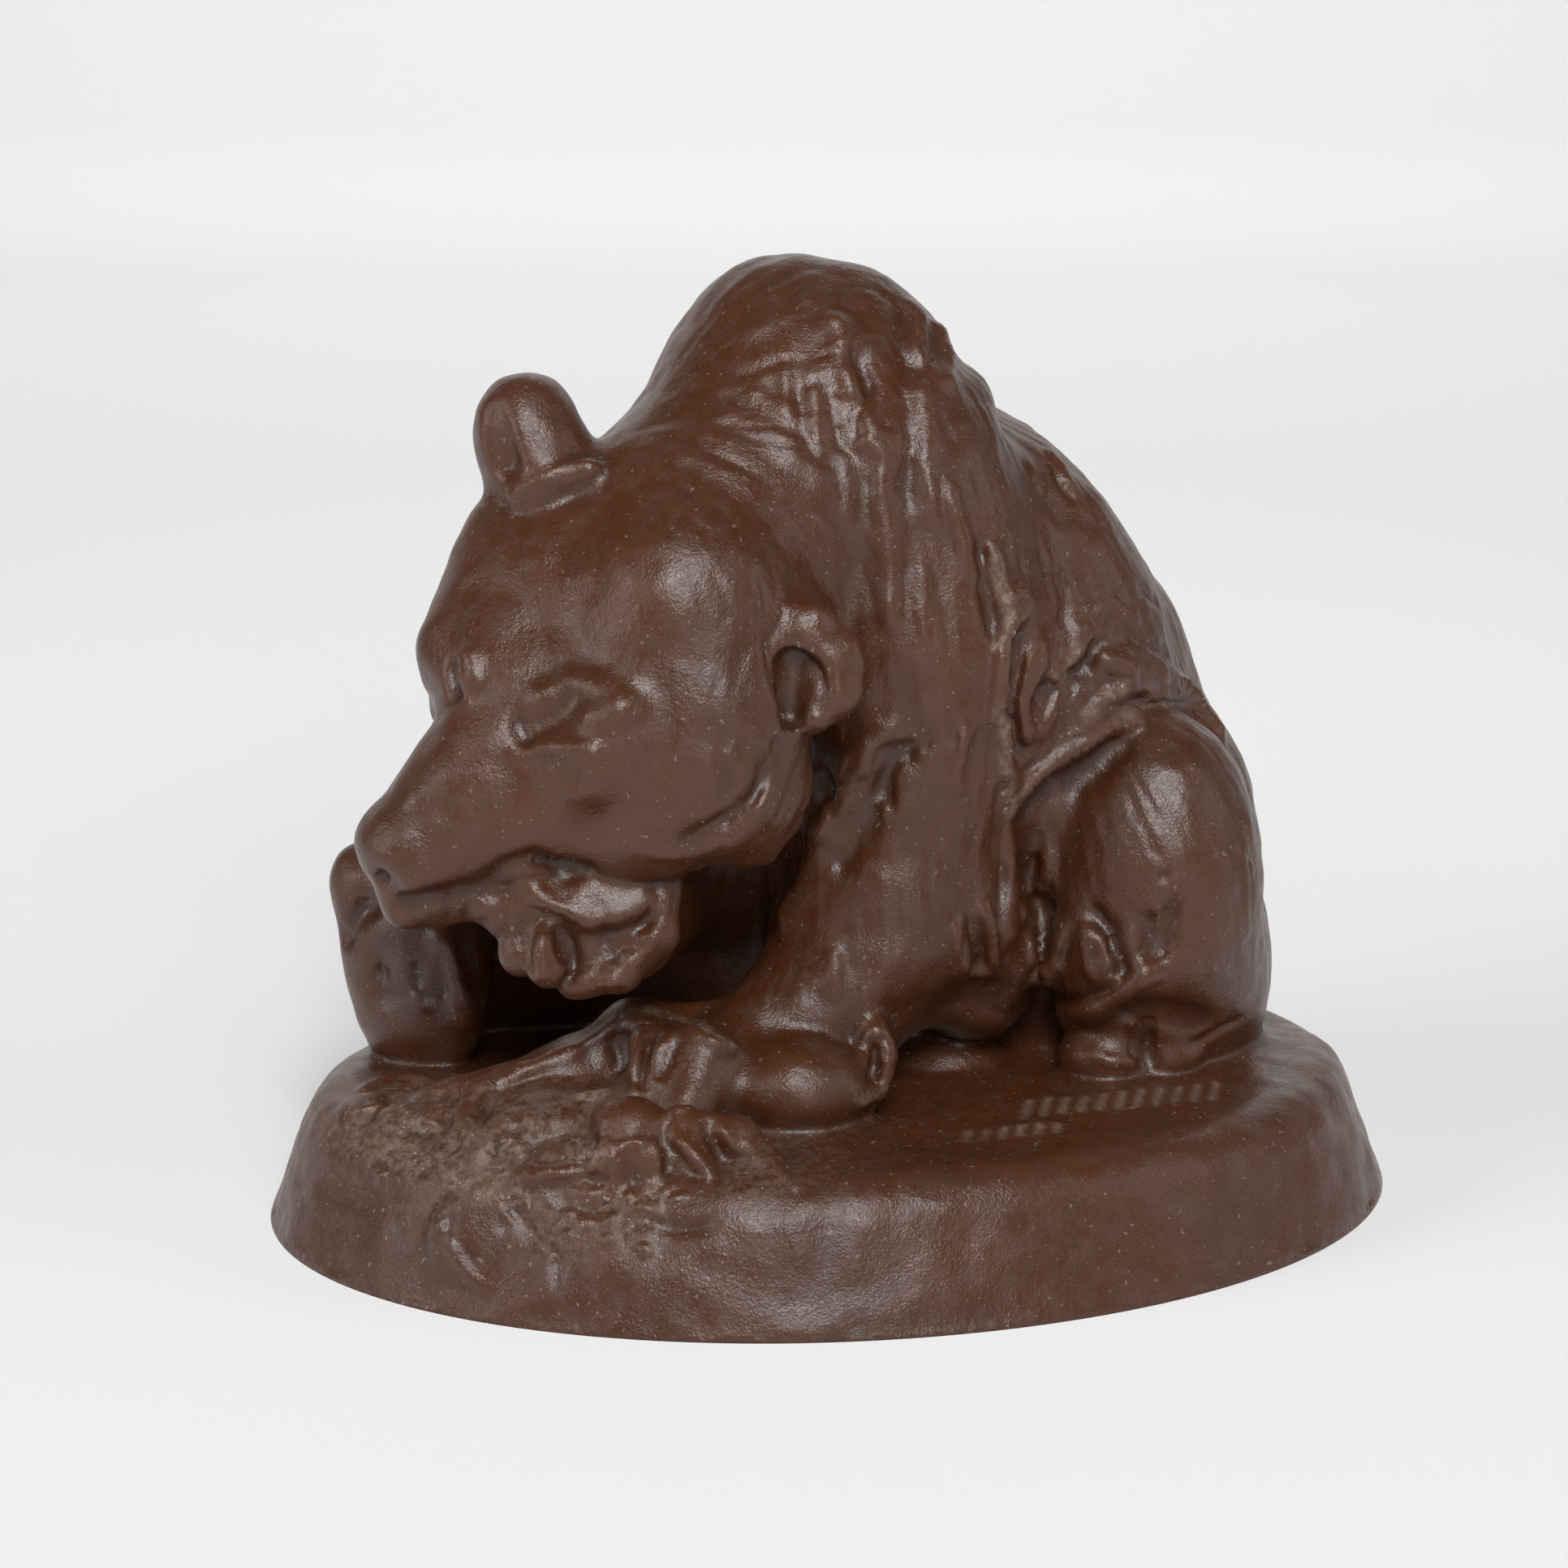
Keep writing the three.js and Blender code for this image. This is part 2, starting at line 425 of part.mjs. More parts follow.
// Meshes the zero surface on a cubic lattice: one vertex in each cell that the surface crosses,
// eased onto the surface, and one four-sided face across each lattice edge that it crosses.
function meshSurface(field, low, high, step) {
  const nx = Math.ceil((high.x - low.x) / step) + 1;
  const ny = Math.ceil((high.y - low.y) / step) + 1;
  const nz = Math.ceil((high.z - low.z) / step) + 1;
  const strides = [1, nx, nx * ny];
  const index = (i, j, k) => i + j * strides[1] + k * strides[2];
  const sample = new Float32Array(nx * ny * nz);
  for (let k = 0; k < nz; k++)
    for (let j = 0; j < ny; j++)
      for (let i = 0; i < nx; i++)
        sample[index(i, j, k)] = field(low.x + i * step, low.y + j * step, low.z + k * step);

  const cornersOf = (here) =>
    [0, 1, 2, 3, 4, 5, 6, 7].map(
      (c) => here + (c & 1) + ((c >> 1) & 1) * strides[1] + (c >> 2) * strides[2],
    );
  const maskOf = (corners) =>
    corners.reduce((mask, corner, c) => mask | ((sample[corner] < 0 ? 1 : 0) << c), 0);

  // fill the cells where two sheets meet, so that the mesh has no pinched edges
  let filled = true;
  while (filled) {
    filled = false;
    for (let k = 0; k < nz - 1; k++)
      for (let j = 0; j < ny - 1; j++)
        for (let i = 0; i < nx - 1; i++) {
          const corners = cornersOf(index(i, j, k));
          if (plainCell[maskOf(corners)]) continue;
          const outer = corners.filter((c) => sample[c] >= 0);
          sample[outer.reduce((a, b) => (sample[a] < sample[b] ? a : b))] = -0.05 * step;
          filled = true;
        }
  }

  const vertexOf = new Map();
  const positions = [];
  for (let k = 0; k < nz - 1; k++)
    for (let j = 0; j < ny - 1; j++)
      for (let i = 0; i < nx - 1; i++) {
        const here = index(i, j, k);
        const corners = cornersOf(here);
        const mask = maskOf(corners);
        if (mask === 0 || mask === 255) continue;
        const sum = [0, 0, 0];
        let crossings = 0;
        for (let a = 0; a < 8; a++)
          for (let axis = 0; axis < 3; axis++) {
            const b = a | (1 << axis);
            if (a === b || ((mask >> a) & 1) === ((mask >> b) & 1)) continue;
            const t = sample[corners[a]] / (sample[corners[a]] - sample[corners[b]]);
            for (let n = 0; n < 3; n++) sum[n] += ((a >> n) & 1) + (n === axis ? t : 0);
            crossings++;
          }
        const start = v(...sum).divideScalar(crossings).add(v(i, j, k));
        const point = start.multiplyScalar(step).add(low);
        vertexOf.set(here, positions.length / 3);
        positions.push(...ease(field, point, step).toArray());
      }

  const faces = [];
  for (let k = 1; k < nz - 1; k++)
    for (let j = 1; j < ny - 1; j++)
      for (let i = 1; i < nx - 1; i++) {
        const here = index(i, j, k);
        for (let axis = 0; axis < 3; axis++) {
          const inside = sample[here] < 0;
          if (inside === sample[here + strides[axis]] < 0) continue;
          const s = strides[(axis + 1) % 3], t = strides[(axis + 2) % 3];
          const ring = [here - s - t, here - t, here, here - s].map((c) => vertexOf.get(c));
          if (!inside) ring.reverse();
          faces.push(ring[0], ring[1], ring[2], ring[0], ring[2], ring[3]);
        }
      }
  return { positions, faces };
}

// Moves a point towards the zero surface of the field, by half a step at most.
function ease(field, point, step) {
  const reach = 0.1;
  const { x, y, z } = point;
  const here = field(x, y, z);
  const slope = v(
    field(x + reach, y, z) - field(x - reach, y, z),
    field(x, y + reach, z) - field(x, y - reach, z),
    field(x, y, z + reach) - field(x, y, z - reach),
  ).divideScalar(2 * reach);
  const move = slope.multiplyScalar(-here / Math.max(slope.lengthSq(), 0.25));
  return point.add(move.clampLength(0, step / 2));
}

// Cuts the solid off flat at the table.
async function cutAtTable({ positions, faces }) {
  const wasm = await Module();
  wasm.setup();
  const solid = (vertices, triangles) =>
    new wasm.Manifold(
      new wasm.Mesh({
        numProp: 3,
        vertProperties: Float32Array.from(vertices),
        triVerts: Uint32Array.from(triangles),
      }),
    );
  const size = 2 * BASE_LENGTH;
  const block = new THREE.BoxGeometry(size, size, size).translate(0, 0, -size / 2);
  block.deleteAttribute("normal");
  block.deleteAttribute("uv");
  const under = mergeVertices(block);
  const cut = solid(positions, faces).subtract(
    solid(under.attributes.position.array, under.index.array),
  );
  const mesh = cut.getMesh();
  return { positions: Array.from(mesh.vertProperties), faces: Array.from(mesh.triVerts) };
}

// Thins a closed mesh to `target` triangles. Edges are merged, the ones that change the shape least
// first, by the squared distance from the planes of the faces round them (a quadric per vertex).
function thin({ positions, faces }, target) {
  const count = positions.length / 3;
  const point = Array.from({ length: count }, (_, i) => v(...positions.slice(3 * i, 3 * i + 3)));
  const quadric = Array.from({ length: count }, () => new Float64Array(10));
  const facesOf = Array.from({ length: count }, () => new Set());
  const triangle = [];
  for (let f = 0; f < faces.length; f += 3) {
    const corners = faces.slice(f, f + 3);
    const [a, b, c] = corners.map((n) => point[n]);
    const normal = b.clone().sub(a).cross(c.clone().sub(a));
    const area = normal.length();
    if (area > 0) normal.divideScalar(area);
    const plane = [normal.x, normal.y, normal.z, -normal.dot(a)];
    for (const n of corners) {
      facesOf[n].add(triangle.length);
      let term = 0;
      for (let i = 0; i < 4; i++)
        for (let j = i; j < 4; j++) quadric[n][term++] += area * plane[i] * plane[j];
    }
    triangle.push(corners);
  }
  const error = (q, { x, y, z }) =>
    q[0] * x * x + 2 * q[1] * x * y + 2 * q[2] * x * z + 2 * q[3] * x + q[4] * y * y +
    2 * q[5] * y * z + 2 * q[6] * y + q[7] * z * z + 2 * q[8] * z + q[9];
  const neighbours = (n) => {
    const found = new Set();
    for (const f of facesOf[n]) for (const m of triangle[f]) found.add(m);
    found.delete(n);
    return found;
  };

  // where the merged vertex of an edge goes: on the underside it stays on the underside
  const places = (a, b, q) => {
    const [p, r] = [point[a], point[b]];
    if ((p.z === 0) !== (r.z === 0)) return [p.z === 0 ? p : r];
    const middle = p.clone().add(r).multiplyScalar(0.5);
    if (p.z === 0) return [p, r, middle];
    const system = new THREE.Matrix3().set(q[0], q[1], q[2], q[1], q[4], q[5], q[2], q[5], q[7]);
    if (Math.abs(system.determinant()) < 1e-6) return [p, r, middle];
    const best = v(-q[3], -q[6], -q[8]).applyMatrix3(system.invert());
    return best.distanceTo(middle) < 2 * p.distanceTo(r) ? [best] : [p, r, middle];
  };

  // a merge is kept only if no face round it turns over or becomes a sliver
  const sound = (a, b, to) => {
    for (const [from, other] of [[a, b], [b, a]])
      for (const f of facesOf[from]) {
        const corners = triangle[f];
        if (corners.includes(other)) continue;
        const [p, q, r] = corners.map((n) => point[n]);
        const [s, t, u] = corners.map((n) => (n === from ? to : point[n]));
        const before = q.clone().sub(p).cross(r.clone().sub(p));
        const after = t.clone().sub(s).cross(u.clone().sub(s));
        const longest = Math.max(s.distanceToSquared(t), t.distanceToSquared(u), u.distanceToSquared(s));
        if (after.length() < 0.12 * longest) return false;
        if (after.dot(before) < 0.5 * after.length() * before.length()) return false;
      }
    return true;
  };

  let left = triangle.length;
  for (let limit = 1e-4; left > target && limit < 1e4; limit *= 1.4)
    for (let a = 0; a < count && left > target; a++)
      for (const b of neighbours(a)) {
        const q = quadric[a].map((value, n) => value + quadric[b][n]);
        const options = places(a, b, q).map((to) => ({ to, cost: error(q, to) }));
        const { to, cost } = options.reduce((best, o) => (o.cost < best.cost ? o : best));
        if (cost > limit) continue;
        const ofB = neighbours(b);
        const shared = [...neighbours(a)].filter((n) => ofB.has(n)).length;
        if (shared !== 2 || !sound(a, b, to)) continue;
        point[a] = to.clone();
        quadric[a] = q;
        for (const f of facesOf[b]) {
          if (triangle[f].includes(a)) {
            for (const n of triangle[f]) if (n !== b) facesOf[n].delete(f);
            triangle[f] = null;
            left--;
          } else {
            triangle[f] = triangle[f].map((n) => (n === b ? a : n));
            facesOf[a].add(f);
          }
        }
        facesOf[b].clear();
        break;
      }

  const kept = triangle.filter(Boolean);
  const renumbered = new Map();
  for (const n of kept.flat()) if (!renumbered.has(n)) renumbered.set(n, renumbered.size);
  return {
    positions: [...renumbered.keys()].flatMap((n) => point[n].toArray()),
    faces: kept.flat().map((n) => renumbered.get(n)),
  };
}

strokes.push(...[
  ...FACE_CARVING,
  ...SHOULDER_CARVING,
  ...FURROW_CARVING,
  ...HIP_FOLDS,
  ...TUFTS_AND_TOES,
  ...FORELEG_CARVING,
  ...PAWS_AND_GROUND,
].map(layStroke));

const low = v(-82, -66, -2 * UNDER), high = v(82, 66, 124);
const rough = meshSurface(surface, low, high, LATTICE);
const { positions, faces } = thin(await cutAtTable(rough), TRIANGLES);
const geometry = new THREE.BufferGeometry();
geometry.setAttribute("position", new THREE.Float32BufferAttribute(positions, 3));
geometry.setIndex(faces);
geometry.computeVertexNormals();

const stoneware = new THREE.MeshStandardMaterial({ color: 0x5a3d31, roughness: 0.45, metalness: 0 });
const bear = new THREE.Mesh(geometry, stoneware);
bear.name = "bear_figurine";
bear.rotation.z = -degrees(TURN_ON_BASE);

const root = new THREE.Group();
root.add(bear);
export default root;
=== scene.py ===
import math

import bmesh
import bpy
import numpy as np
from mathutils import Matrix, Vector, noise
from mathutils.bvhtree import BVHTree


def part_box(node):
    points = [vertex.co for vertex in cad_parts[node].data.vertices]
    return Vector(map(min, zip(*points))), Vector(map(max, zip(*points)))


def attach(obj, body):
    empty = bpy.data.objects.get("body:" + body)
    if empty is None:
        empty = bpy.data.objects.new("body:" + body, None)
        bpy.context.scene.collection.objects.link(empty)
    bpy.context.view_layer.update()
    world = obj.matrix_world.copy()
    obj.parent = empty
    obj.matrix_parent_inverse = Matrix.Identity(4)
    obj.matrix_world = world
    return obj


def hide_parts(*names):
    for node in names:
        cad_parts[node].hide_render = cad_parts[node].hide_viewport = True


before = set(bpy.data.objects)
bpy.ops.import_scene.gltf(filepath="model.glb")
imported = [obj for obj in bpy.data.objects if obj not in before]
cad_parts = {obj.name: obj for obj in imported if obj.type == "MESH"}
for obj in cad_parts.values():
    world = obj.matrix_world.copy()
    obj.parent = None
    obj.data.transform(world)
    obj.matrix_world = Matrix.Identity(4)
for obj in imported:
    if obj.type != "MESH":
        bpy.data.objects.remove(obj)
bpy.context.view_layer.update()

bpy.ops.object.select_all(action="DESELECT")


# The view. The figure stands on a table and is seen from a little above its own height, from the
# side that its left flank turns to. The camera is set first, because the finest strokes of the
# modelling are placed by where they show in this view.
TURN_ON_BASE = math.radians(13)      # from the long axis of the base to the bear's own frame
PHOTO_PIXELS = 1932
FOCAL_PIXELS = 4399
VIEW_DISTANCE = 450                  # millimetres
VIEW_PITCH = math.radians(12.83)
VIEW_TARGET = Vector((-6.5, 0, 53))
SENSOR = 36

sight = Vector((0, math.cos(VIEW_PITCH), -math.sin(VIEW_PITCH)))
overhead = Vector((0, math.sin(VIEW_PITCH), math.cos(VIEW_PITCH)))
eye = VIEW_TARGET - VIEW_DISTANCE * sight
to_table = Matrix.Rotation(-TURN_ON_BASE, 4, "Z") @ Matrix.Scale(0.001, 4)

bpy.ops.object.camera_add(location=to_table @ eye)
camera = bpy.context.object
camera.rotation_euler = (to_table.to_3x3() @ sight).to_track_quat("-Z", "Y").to_euler()
camera.data.sensor_width = SENSOR
camera.data.lens = SENSOR * FOCAL_PIXELS / PHOTO_PIXELS
bpy.context.scene.camera = camera


# The figurine: one stoneware casting, bear and base together, taken from a mould of a clay model.
# It is built up as that model was, in millimetres, from rounded masses of clay that are pressed on
# and smoothed into each other, with hollows scooped out. The bear's own frame has X to its rump.
class Place:
    """A place with its own forward, left and up, in which masses are laid."""

    def __init__(self, origin, forward, left):
        forward = Vector(forward).normalized()
        left = (Vector(left) - Vector(left).dot(forward) * forward).normalized()
        self.origin = Vector(origin)
        self.axes = Matrix((forward, left, forward.cross(left))).transposed()

    def at(self, point):
        return self.origin + self.axes @ Vector(point)


class Ball:
    """An ellipsoid of clay, with radii along a place's forward, left and up."""

    def __init__(self, place, at, radii):
        self.centre = np.array(place.at(at))
        self.axes = np.array(place.axes)
        self.radii = np.array(radii, float)
        self.reach = max(radii)

    def skin(self, ways):
        return self.centre + (ways * self.radii) @ self.axes.T

    def distance(self, points):
        away = (points - self.centre) @ self.axes / self.radii
        k0 = np.linalg.norm(away, axis=1)
        k1 = np.linalg.norm(away / self.radii, axis=1)
        return np.where(k1 < 1e-9, -self.radii.min(), k0 * (k0 - 1) / np.maximum(k1, 1e-9))


class Limb:
    """A cone of clay with round ends, from one point of a place to another."""

    def __init__(self, place, start, end, start_radius, end_radius):
        self.start = np.array(place.at(start))
        self.along = np.array(place.at(end)) - self.start
        self.start_radius = start_radius
        self.end_radius = end_radius
        self.centre = self.start + self.along / 2
        self.reach = np.linalg.norm(self.along) / 2 + max(start_radius, end_radius)

    def skin(self, ways):
        forward = ways @ self.along > 0
        radius = np.where(forward, self.end_radius, self.start_radius)
        return self.start + forward[:, None] * self.along + ways * radius[:, None]

    def distance(self, points):
        length2 = self.along @ self.along
        narrowing = self.start_radius - self.end_radius
        slant2 = length2 - narrowing**2
        away = points - self.start
        t = away @ self.along
        s = t - length2
        x2 = ((away * length2 - np.outer(t, self.along)) ** 2).sum(axis=1)
        y2 = t * t * length2
        z2 = s * s * length2
        k = np.sign(narrowing) * narrowing**2 * x2
        beside = (np.sqrt(x2 * slant2 / length2) + t * narrowing) / length2 - self.start_radius
        behind = np.sqrt(x2 + y2) / length2 - self.start_radius
        beyond = np.sqrt(x2 + z2) / length2 - self.end_radius
        near_side = np.where(np.sign(t) * slant2 * y2 < k, behind, beside)
        return np.where(np.sign(s) * slant2 * z2 > k, beyond, near_side)


clay = []         # each mass or hollow, how widely it is smoothed in, and 1 or -1
lumps = []        # the lumps of the masses, as objects


def lay(mass, blend):
    clay.append((mass, blend, 1))
    bpy.ops.mesh.primitive_ico_sphere_add(subdivisions=4, radius=1)
    lump = bpy.context.object.data
    ways = np.empty(3 * len(lump.vertices))
    lump.vertices.foreach_get("co", ways)
    lump.vertices.foreach_set("co", mass.skin(ways.reshape(-1, 3)).ravel())
    lumps.append(bpy.context.object)


def scoop(mass, blend):
    clay.append((mass, blend, -1))


figure = Place((0, 0, 0), (1, 0, 0), (0, 1, 0))


# The oval base, a low disc with sloping sides and a rounded rim. It is modelled a little past the
# table, where it is cut off flat at the end.
BASE_LENGTH = 144.6
BASE_DEPTH = 108.4
BASE_HEIGHT = 17
BASE_INSET = 6.2                     # how far the rim is drawn in from the foot of the base
BASE_RIM = 5
UNDER = 3


class OvalBase:
    centre = np.zeros(3)
    reach = BASE_LENGTH / 2 + BASE_HEIGHT

    def distance(self, points):
        x, y, z = points.T
        c, s = math.cos(TURN_ON_BASE), math.sin(TURN_ON_BASE)
        inset = BASE_INSET * np.minimum(z, BASE_HEIGHT) / BASE_HEIGHT
        a, b = BASE_LENGTH / 2 - inset, BASE_DEPTH / 2 - inset
        p, q = x * c + y * s, y * c - x * s
        k0 = np.hypot(p / a, q / b)
        k1 = np.maximum(np.hypot(p / a**2, q / b**2), 1e-9)
        side = k0 * (k0 - 1) / k1
        top = z - BASE_HEIGHT
        h = np.maximum(BASE_RIM - np.abs(side - top), 0) / BASE_RIM
        return np.maximum.reduce([side, top, -UNDER - z]) + h * h * BASE_RIM / 4


clay.append((OvalBase(), 0, 1))
foot_radius = BASE_LENGTH / 2 + BASE_INSET * UNDER / BASE_HEIGHT
bpy.ops.mesh.primitive_cone_add(
    vertices=160,
    radius1=foot_radius,
    radius2=BASE_LENGTH / 2 - BASE_INSET,
    depth=BASE_HEIGHT + UNDER,
    location=(0, 0, (BASE_HEIGHT - UNDER) / 2),
    rotation=(0, 0, TURN_ON_BASE),
    scale=(1, BASE_DEPTH / BASE_LENGTH, 1),
)
lumps.append(bpy.context.object)


# Trunk: rump, loin, back, the hump over the shoulders, the barrel of chest and belly, the throat,
# the groin and the short tail.
lay(Ball(figure, (36.5, 20, 30), (20.5, 23, 24)), 6)
lay(Ball(figure, (25.5, 20, 58), (22, 21, 26.5)), 8)
lay(Ball(figure, (35.5, 20, 46), (19.4, 18, 16.5)), 6)
lay(Ball(figure, (23.5, 8, 67), (16.8, 14, 25.5)), 8)
lay(Ball(figure, (14, 15, 80), (17.4, 18, 20)), 8)
lay(Ball(figure, (-1, 8, 99.8), (16, 14, 17.9)), 6)
lay(Ball(figure, (-8.5, 8, 100), (12, 13, 17.5)), 6)
lay(Ball(figure, (8, 10, 55), (22, 20, 36)), 10)
lay(Ball(figure, (-15, 7, 50), (13, 13, 16)), 8)
lay(Ball(figure, (0, 14, 28), (20, 16, 16)), 8)
lay(Ball(figure, (52, 31, 27), (5, 5, 7)), 4)
lay(Limb(figure, (-4.5, 6, 91.5), (-17.5, -5, 80.8), 20.5, 19.8), 8)
lay(Ball(figure, (15.4, 5, 101), (4, 6, 3.9)), 3)

# Head. Its forward points at the nose, and its up is the brow's side, turned to the viewer. On the
# skull lie a dome on each side and a crest along the muzzle.
head = Place((-41.7, -27.5, 68.8), (-0.64, -0.171, -0.751), (0.678, -0.607, -0.414))
lay(Ball(head, (-17, -0.5, -14), (21, 25, 15)), 3)
lay(Ball(head, (-11, 14, -16.2), (19, 14, 11.5)), 5)
lay(Ball(head, (-10, -12, -17), (17, 10, 11.5)), 5)
lay(Limb(head, (-4, 1.5, -12), (16.5, 1.7, -8.5), 11.9, 8), 5)
lay(Limb(head, (-12, 0, -20), (13, 0, -14.5), 10, 5.5), 3)
lay(Ball(head, (3, 7, -11), (13, 8.5, 7.5)), 5)
lay(Ball(head, (20, 1.2, -5.5), (4.8, 7, 5.5)), 2)
lay(Limb(figure, (-38.9, -8, 85.5), (-43.4, -14.5, 72.7), 6, 7.3), 4)
lay(Ball(figure, (-18.5, -20, 79.5), (13, 11, 12)), 4)
lay(Limb(figure, (-35, -21, 67.2), (-50, -24.5, 52.8), 7.6, 4.5), 4)
lay(Ball(figure, (-10, -22, 56), (7, 8, 8)), 5)
for side in (1, -1):
    lay(Ball(head, (-5, 3.7 + side * 9, -4.5), (7, 5, 4)), 4)

# Left ear, a thick leaf that curls forwards and down round a hollow beside the cheek.
lay(Limb(figure, (-9, -21, 77.5), (-4, -21, 76), 4.5, 4), 4)
lay(Limb(figure, (-7.5, -23.5, 77), (-3.8, -25, 77), 3, 3.2), 2)
lay(Limb(figure, (-3.8, -25, 77), (-1, -25, 74), 3.2, 3.3), 1.5)
lay(Limb(figure, (-1, -25, 74), (-0.9, -25.8, 70.4), 3.3, 3.2), 1.5)
lay(Limb(figure, (-0.9, -25.8, 70.4), (-3.2, -27, 67.6), 3.2, 2.4), 1.5)
lay(Ball(figure, (-3, -23, 72), (4, 3, 5.5)), 2)
scoop(Limb(figure, (-5.4, -28.6, 73), (-5.8, -28.6, 68), 2.3, 1.9), 1)

# Right ear, seen from its side: a lobe with a shallow crease down its front, and a ridge of skin
# below it.
lay(Ball(head, (-26, -18, -5), (5.5, 7, 6.5)), 3)
right_ear = Place((-37.8, -6.5, 98.4), (-0.92, -0.38, 0.1), (-0.25, 0.1, 0.95))
lay(Ball(right_ear, (0, 0, 0), (6.5, 7.2, 6.6)), 4)
scoop(Limb(figure, (-41.5, -12.5, 101), (-39.8, -13.2, 95.5), 1.4, 1.6), 1.5)
lay(Limb(figure, (-38, -13.5, 91.8), (-29.6, -14.2, 94.4), 1.7, 2), 1.2)

# Left foreleg, planted on the ground. The forearm spreads into the paw: its heel, the back of it
# and two digits that run forwards.
lay(Ball(figure, (9, -2, 80), (15, 13, 24)), 6)
lay(Limb(figure, (10, -3, 70), (6, -7, 38), 14.5, 12), 6)
lay(Limb(figure, (6, -7, 38), (-1, -12, 27), 12, 9.5), 5)
lay(Limb(figure, (10, -5, 38), (18, -3, 29), 11, 8), 5)
lay(Limb(figure, (-3, -13, 27), (-14, -20, 21.5), 8, 6.5), 4)
lay(Ball(figure, (-4.8, -25, 21), (9, 7.2, 6.2)), 2)
lay(Ball(figure, (-17.5, -24, 21), (9, 8, 7.4)), 3)
lay(Limb(figure, (-22, -25, 25), (-25.5, -32, 18.5), 3.6, 3), 1.5)
lay(Limb(figure, (-16, -27, 25), (-18.8, -33.5, 18.5), 4, 3.2), 1.5)
lay(Limb(figure, (4.2, -20.5, 27), (5.4, -21.5, 24), 1.8, 1.8), 1.5)
lay(Limb(figure, (5.4, -21.5, 24), (3, -24.5, 18.5), 1.8, 1.6), 1)
lay(Ball(figure, (13, 0, 17), (8, 6, 3)), 2)

# Claws of the left forepaw, hooked over the rim of the base: knuckles, and the flat nails below.
lay(Ball(figure, (-24.8, -39.5, 20), (5.2, 4.6, 4.2)), 1)
lay(Ball(figure, (-24.6, -43.2, 16.8), (4.5, 3.2, 5)), 1)
lay(Limb(figure, (-18.5, -39.5, 19.8), (-12.3, -38.5, 18.8), 3.2, 2.9), 1)
lay(Limb(figure, (-18.3, -41.5, 18.6), (-15.5, -44.5, 15.5), 3, 2.2), 1)
lay(Limb(figure, (-12, -38.5, 18.6), (-6.5, -43.5, 15.5), 2.6, 1.6), 1.5)

# Right foreleg, held up to the mouth, with the cupped paw: its pad, the outer digit round the
# right, lumps down the left and a curled digit in the middle of the palm.
lay(Ball(figure, (-8, 20, 78), (16, 13, 24)), 7)
lay(Limb(figure, (-9, 22, 66), (-18, 14, 42), 13, 10), 6)
lay(Limb(figure, (-18, 14, 41), (-26, -16, 39), 9, 6.5), 5)
lay(Ball(figure, (-30, -25, 41), (10.8, 5, 8)), 3)
lay(Ball(figure, (-29.5, -27, 45), (9, 3.4, 3)), 2)
lay(Limb(figure, (-20.7, -25.5, 46.5), (-21.6, -27.5, 41), 2, 2.3), 1)
lay(Limb(figure, (-21.6, -27.5, 41), (-26, -28.8, 36.6), 2.3, 2.4), 1)
lay(Limb(figure, (-26, -28.8, 36.6), (-31.5, -28.8, 35.4), 2.4, 2.2), 1)
lay(Ball(figure, (-39.3, -27, 43.6), (3, 3.2, 3.6)), 1)
lay(Ball(figure, (-37.8, -28, 38.6), (2.8, 2.6, 2.8)), 1)
lay(Limb(figure, (-35, -29.8, 42), (-34.6, -30.6, 37.6), 2.3, 2.5), 0.6)
scoop(Ball(figure, (-28.8, -32, 40.6), (4, 1.8, 3)), 1.5)

# Left hind leg: thigh and knee, shank, and foot with its toes.
lay(Ball(figure, (40.5, 2, 39.5), (14, 15, 22.5)), 3)
lay(Ball(figure, (45, 8, 26), (11.5, 14, 12)), 5)
lay(Limb(figure, (36, -3, 32), (37, -1, 22), 9, 7), 4)
lay(Ball(figure, (34, -5, 19), (6, 5.5, 4.2)), 1.5)
lay(Ball(figure, (41.5, -3.5, 19), (5, 5, 4)), 1)

# Right hind leg: thigh, shank, and the foot with its sole upright and the heel on the ground.
lay(Ball(figure, (20, 34, 34), (22, 14, 18)), 8)
lay(Limb(figure, (10, 34, 32), (-30, 22, 28), 15, 11), 8)
lay(Limb(figure, (-30, 22, 28), (-50, 9, 28), 11, 9), 5)
foot = Place((-53.6, 1, 30.5), (-0.35, -0.93, 0.1), (-0.22, 0, 1))
lay(Ball(foot, (0, 0, 0), (6, 15.5, 10.2)), 2)
lay(Ball(foot, (0, 9, 6), (4.5, 6, 4.2)), 2)
lay(Ball(foot, (0, -8, 0.5), (5, 6.5, 8.2)), 2)

# Ground before the chest: a ridge of rock that runs down to the left, and rubble at the rim.
lay(Limb(figure, (-14, -15, 25), (-25, -17, 25), 4, 4.2), 1.5)
lay(Limb(figure, (-25, -17, 25), (-33, -19, 20), 4.2, 4.5), 2)
lay(Limb(figure, (-33, -19, 20), (-49, -21, 16), 4.5, 4), 2)
lay(Ball(figure, (-33, -27, 16), (13, 9, 5.5)), 3)
for i in range(7):
    t = i / 6
    place = (-57 + 30 * t, -20 - 20 * t - 3 * (i % 2), 16.5)
    lay(Ball(figure, place, (4.5, 3.5, 2.2 + 0.5 * (i % 3))), 1.5)
lay(Ball(figure, (-39, -42.8, 8), (9, 3, 7)), 2)

# Lip of the lower jaw, under the nose.
lay(Limb(figure, (-51.5, -27, 44.5), (-44, -26.5, 45.5), 3, 3), 3)


# The strokes of the carving tool. Each runs over the masses through the places that show at some
# pixels of the photograph. It lifts the surface there by `height`, or presses it down where that
# is negative, and fades out over `width` to the sides.
def fold(height, width, *pixels):
    return height, width, pixels


def groove(depth, width, *pixels):
    return -depth, width, pixels


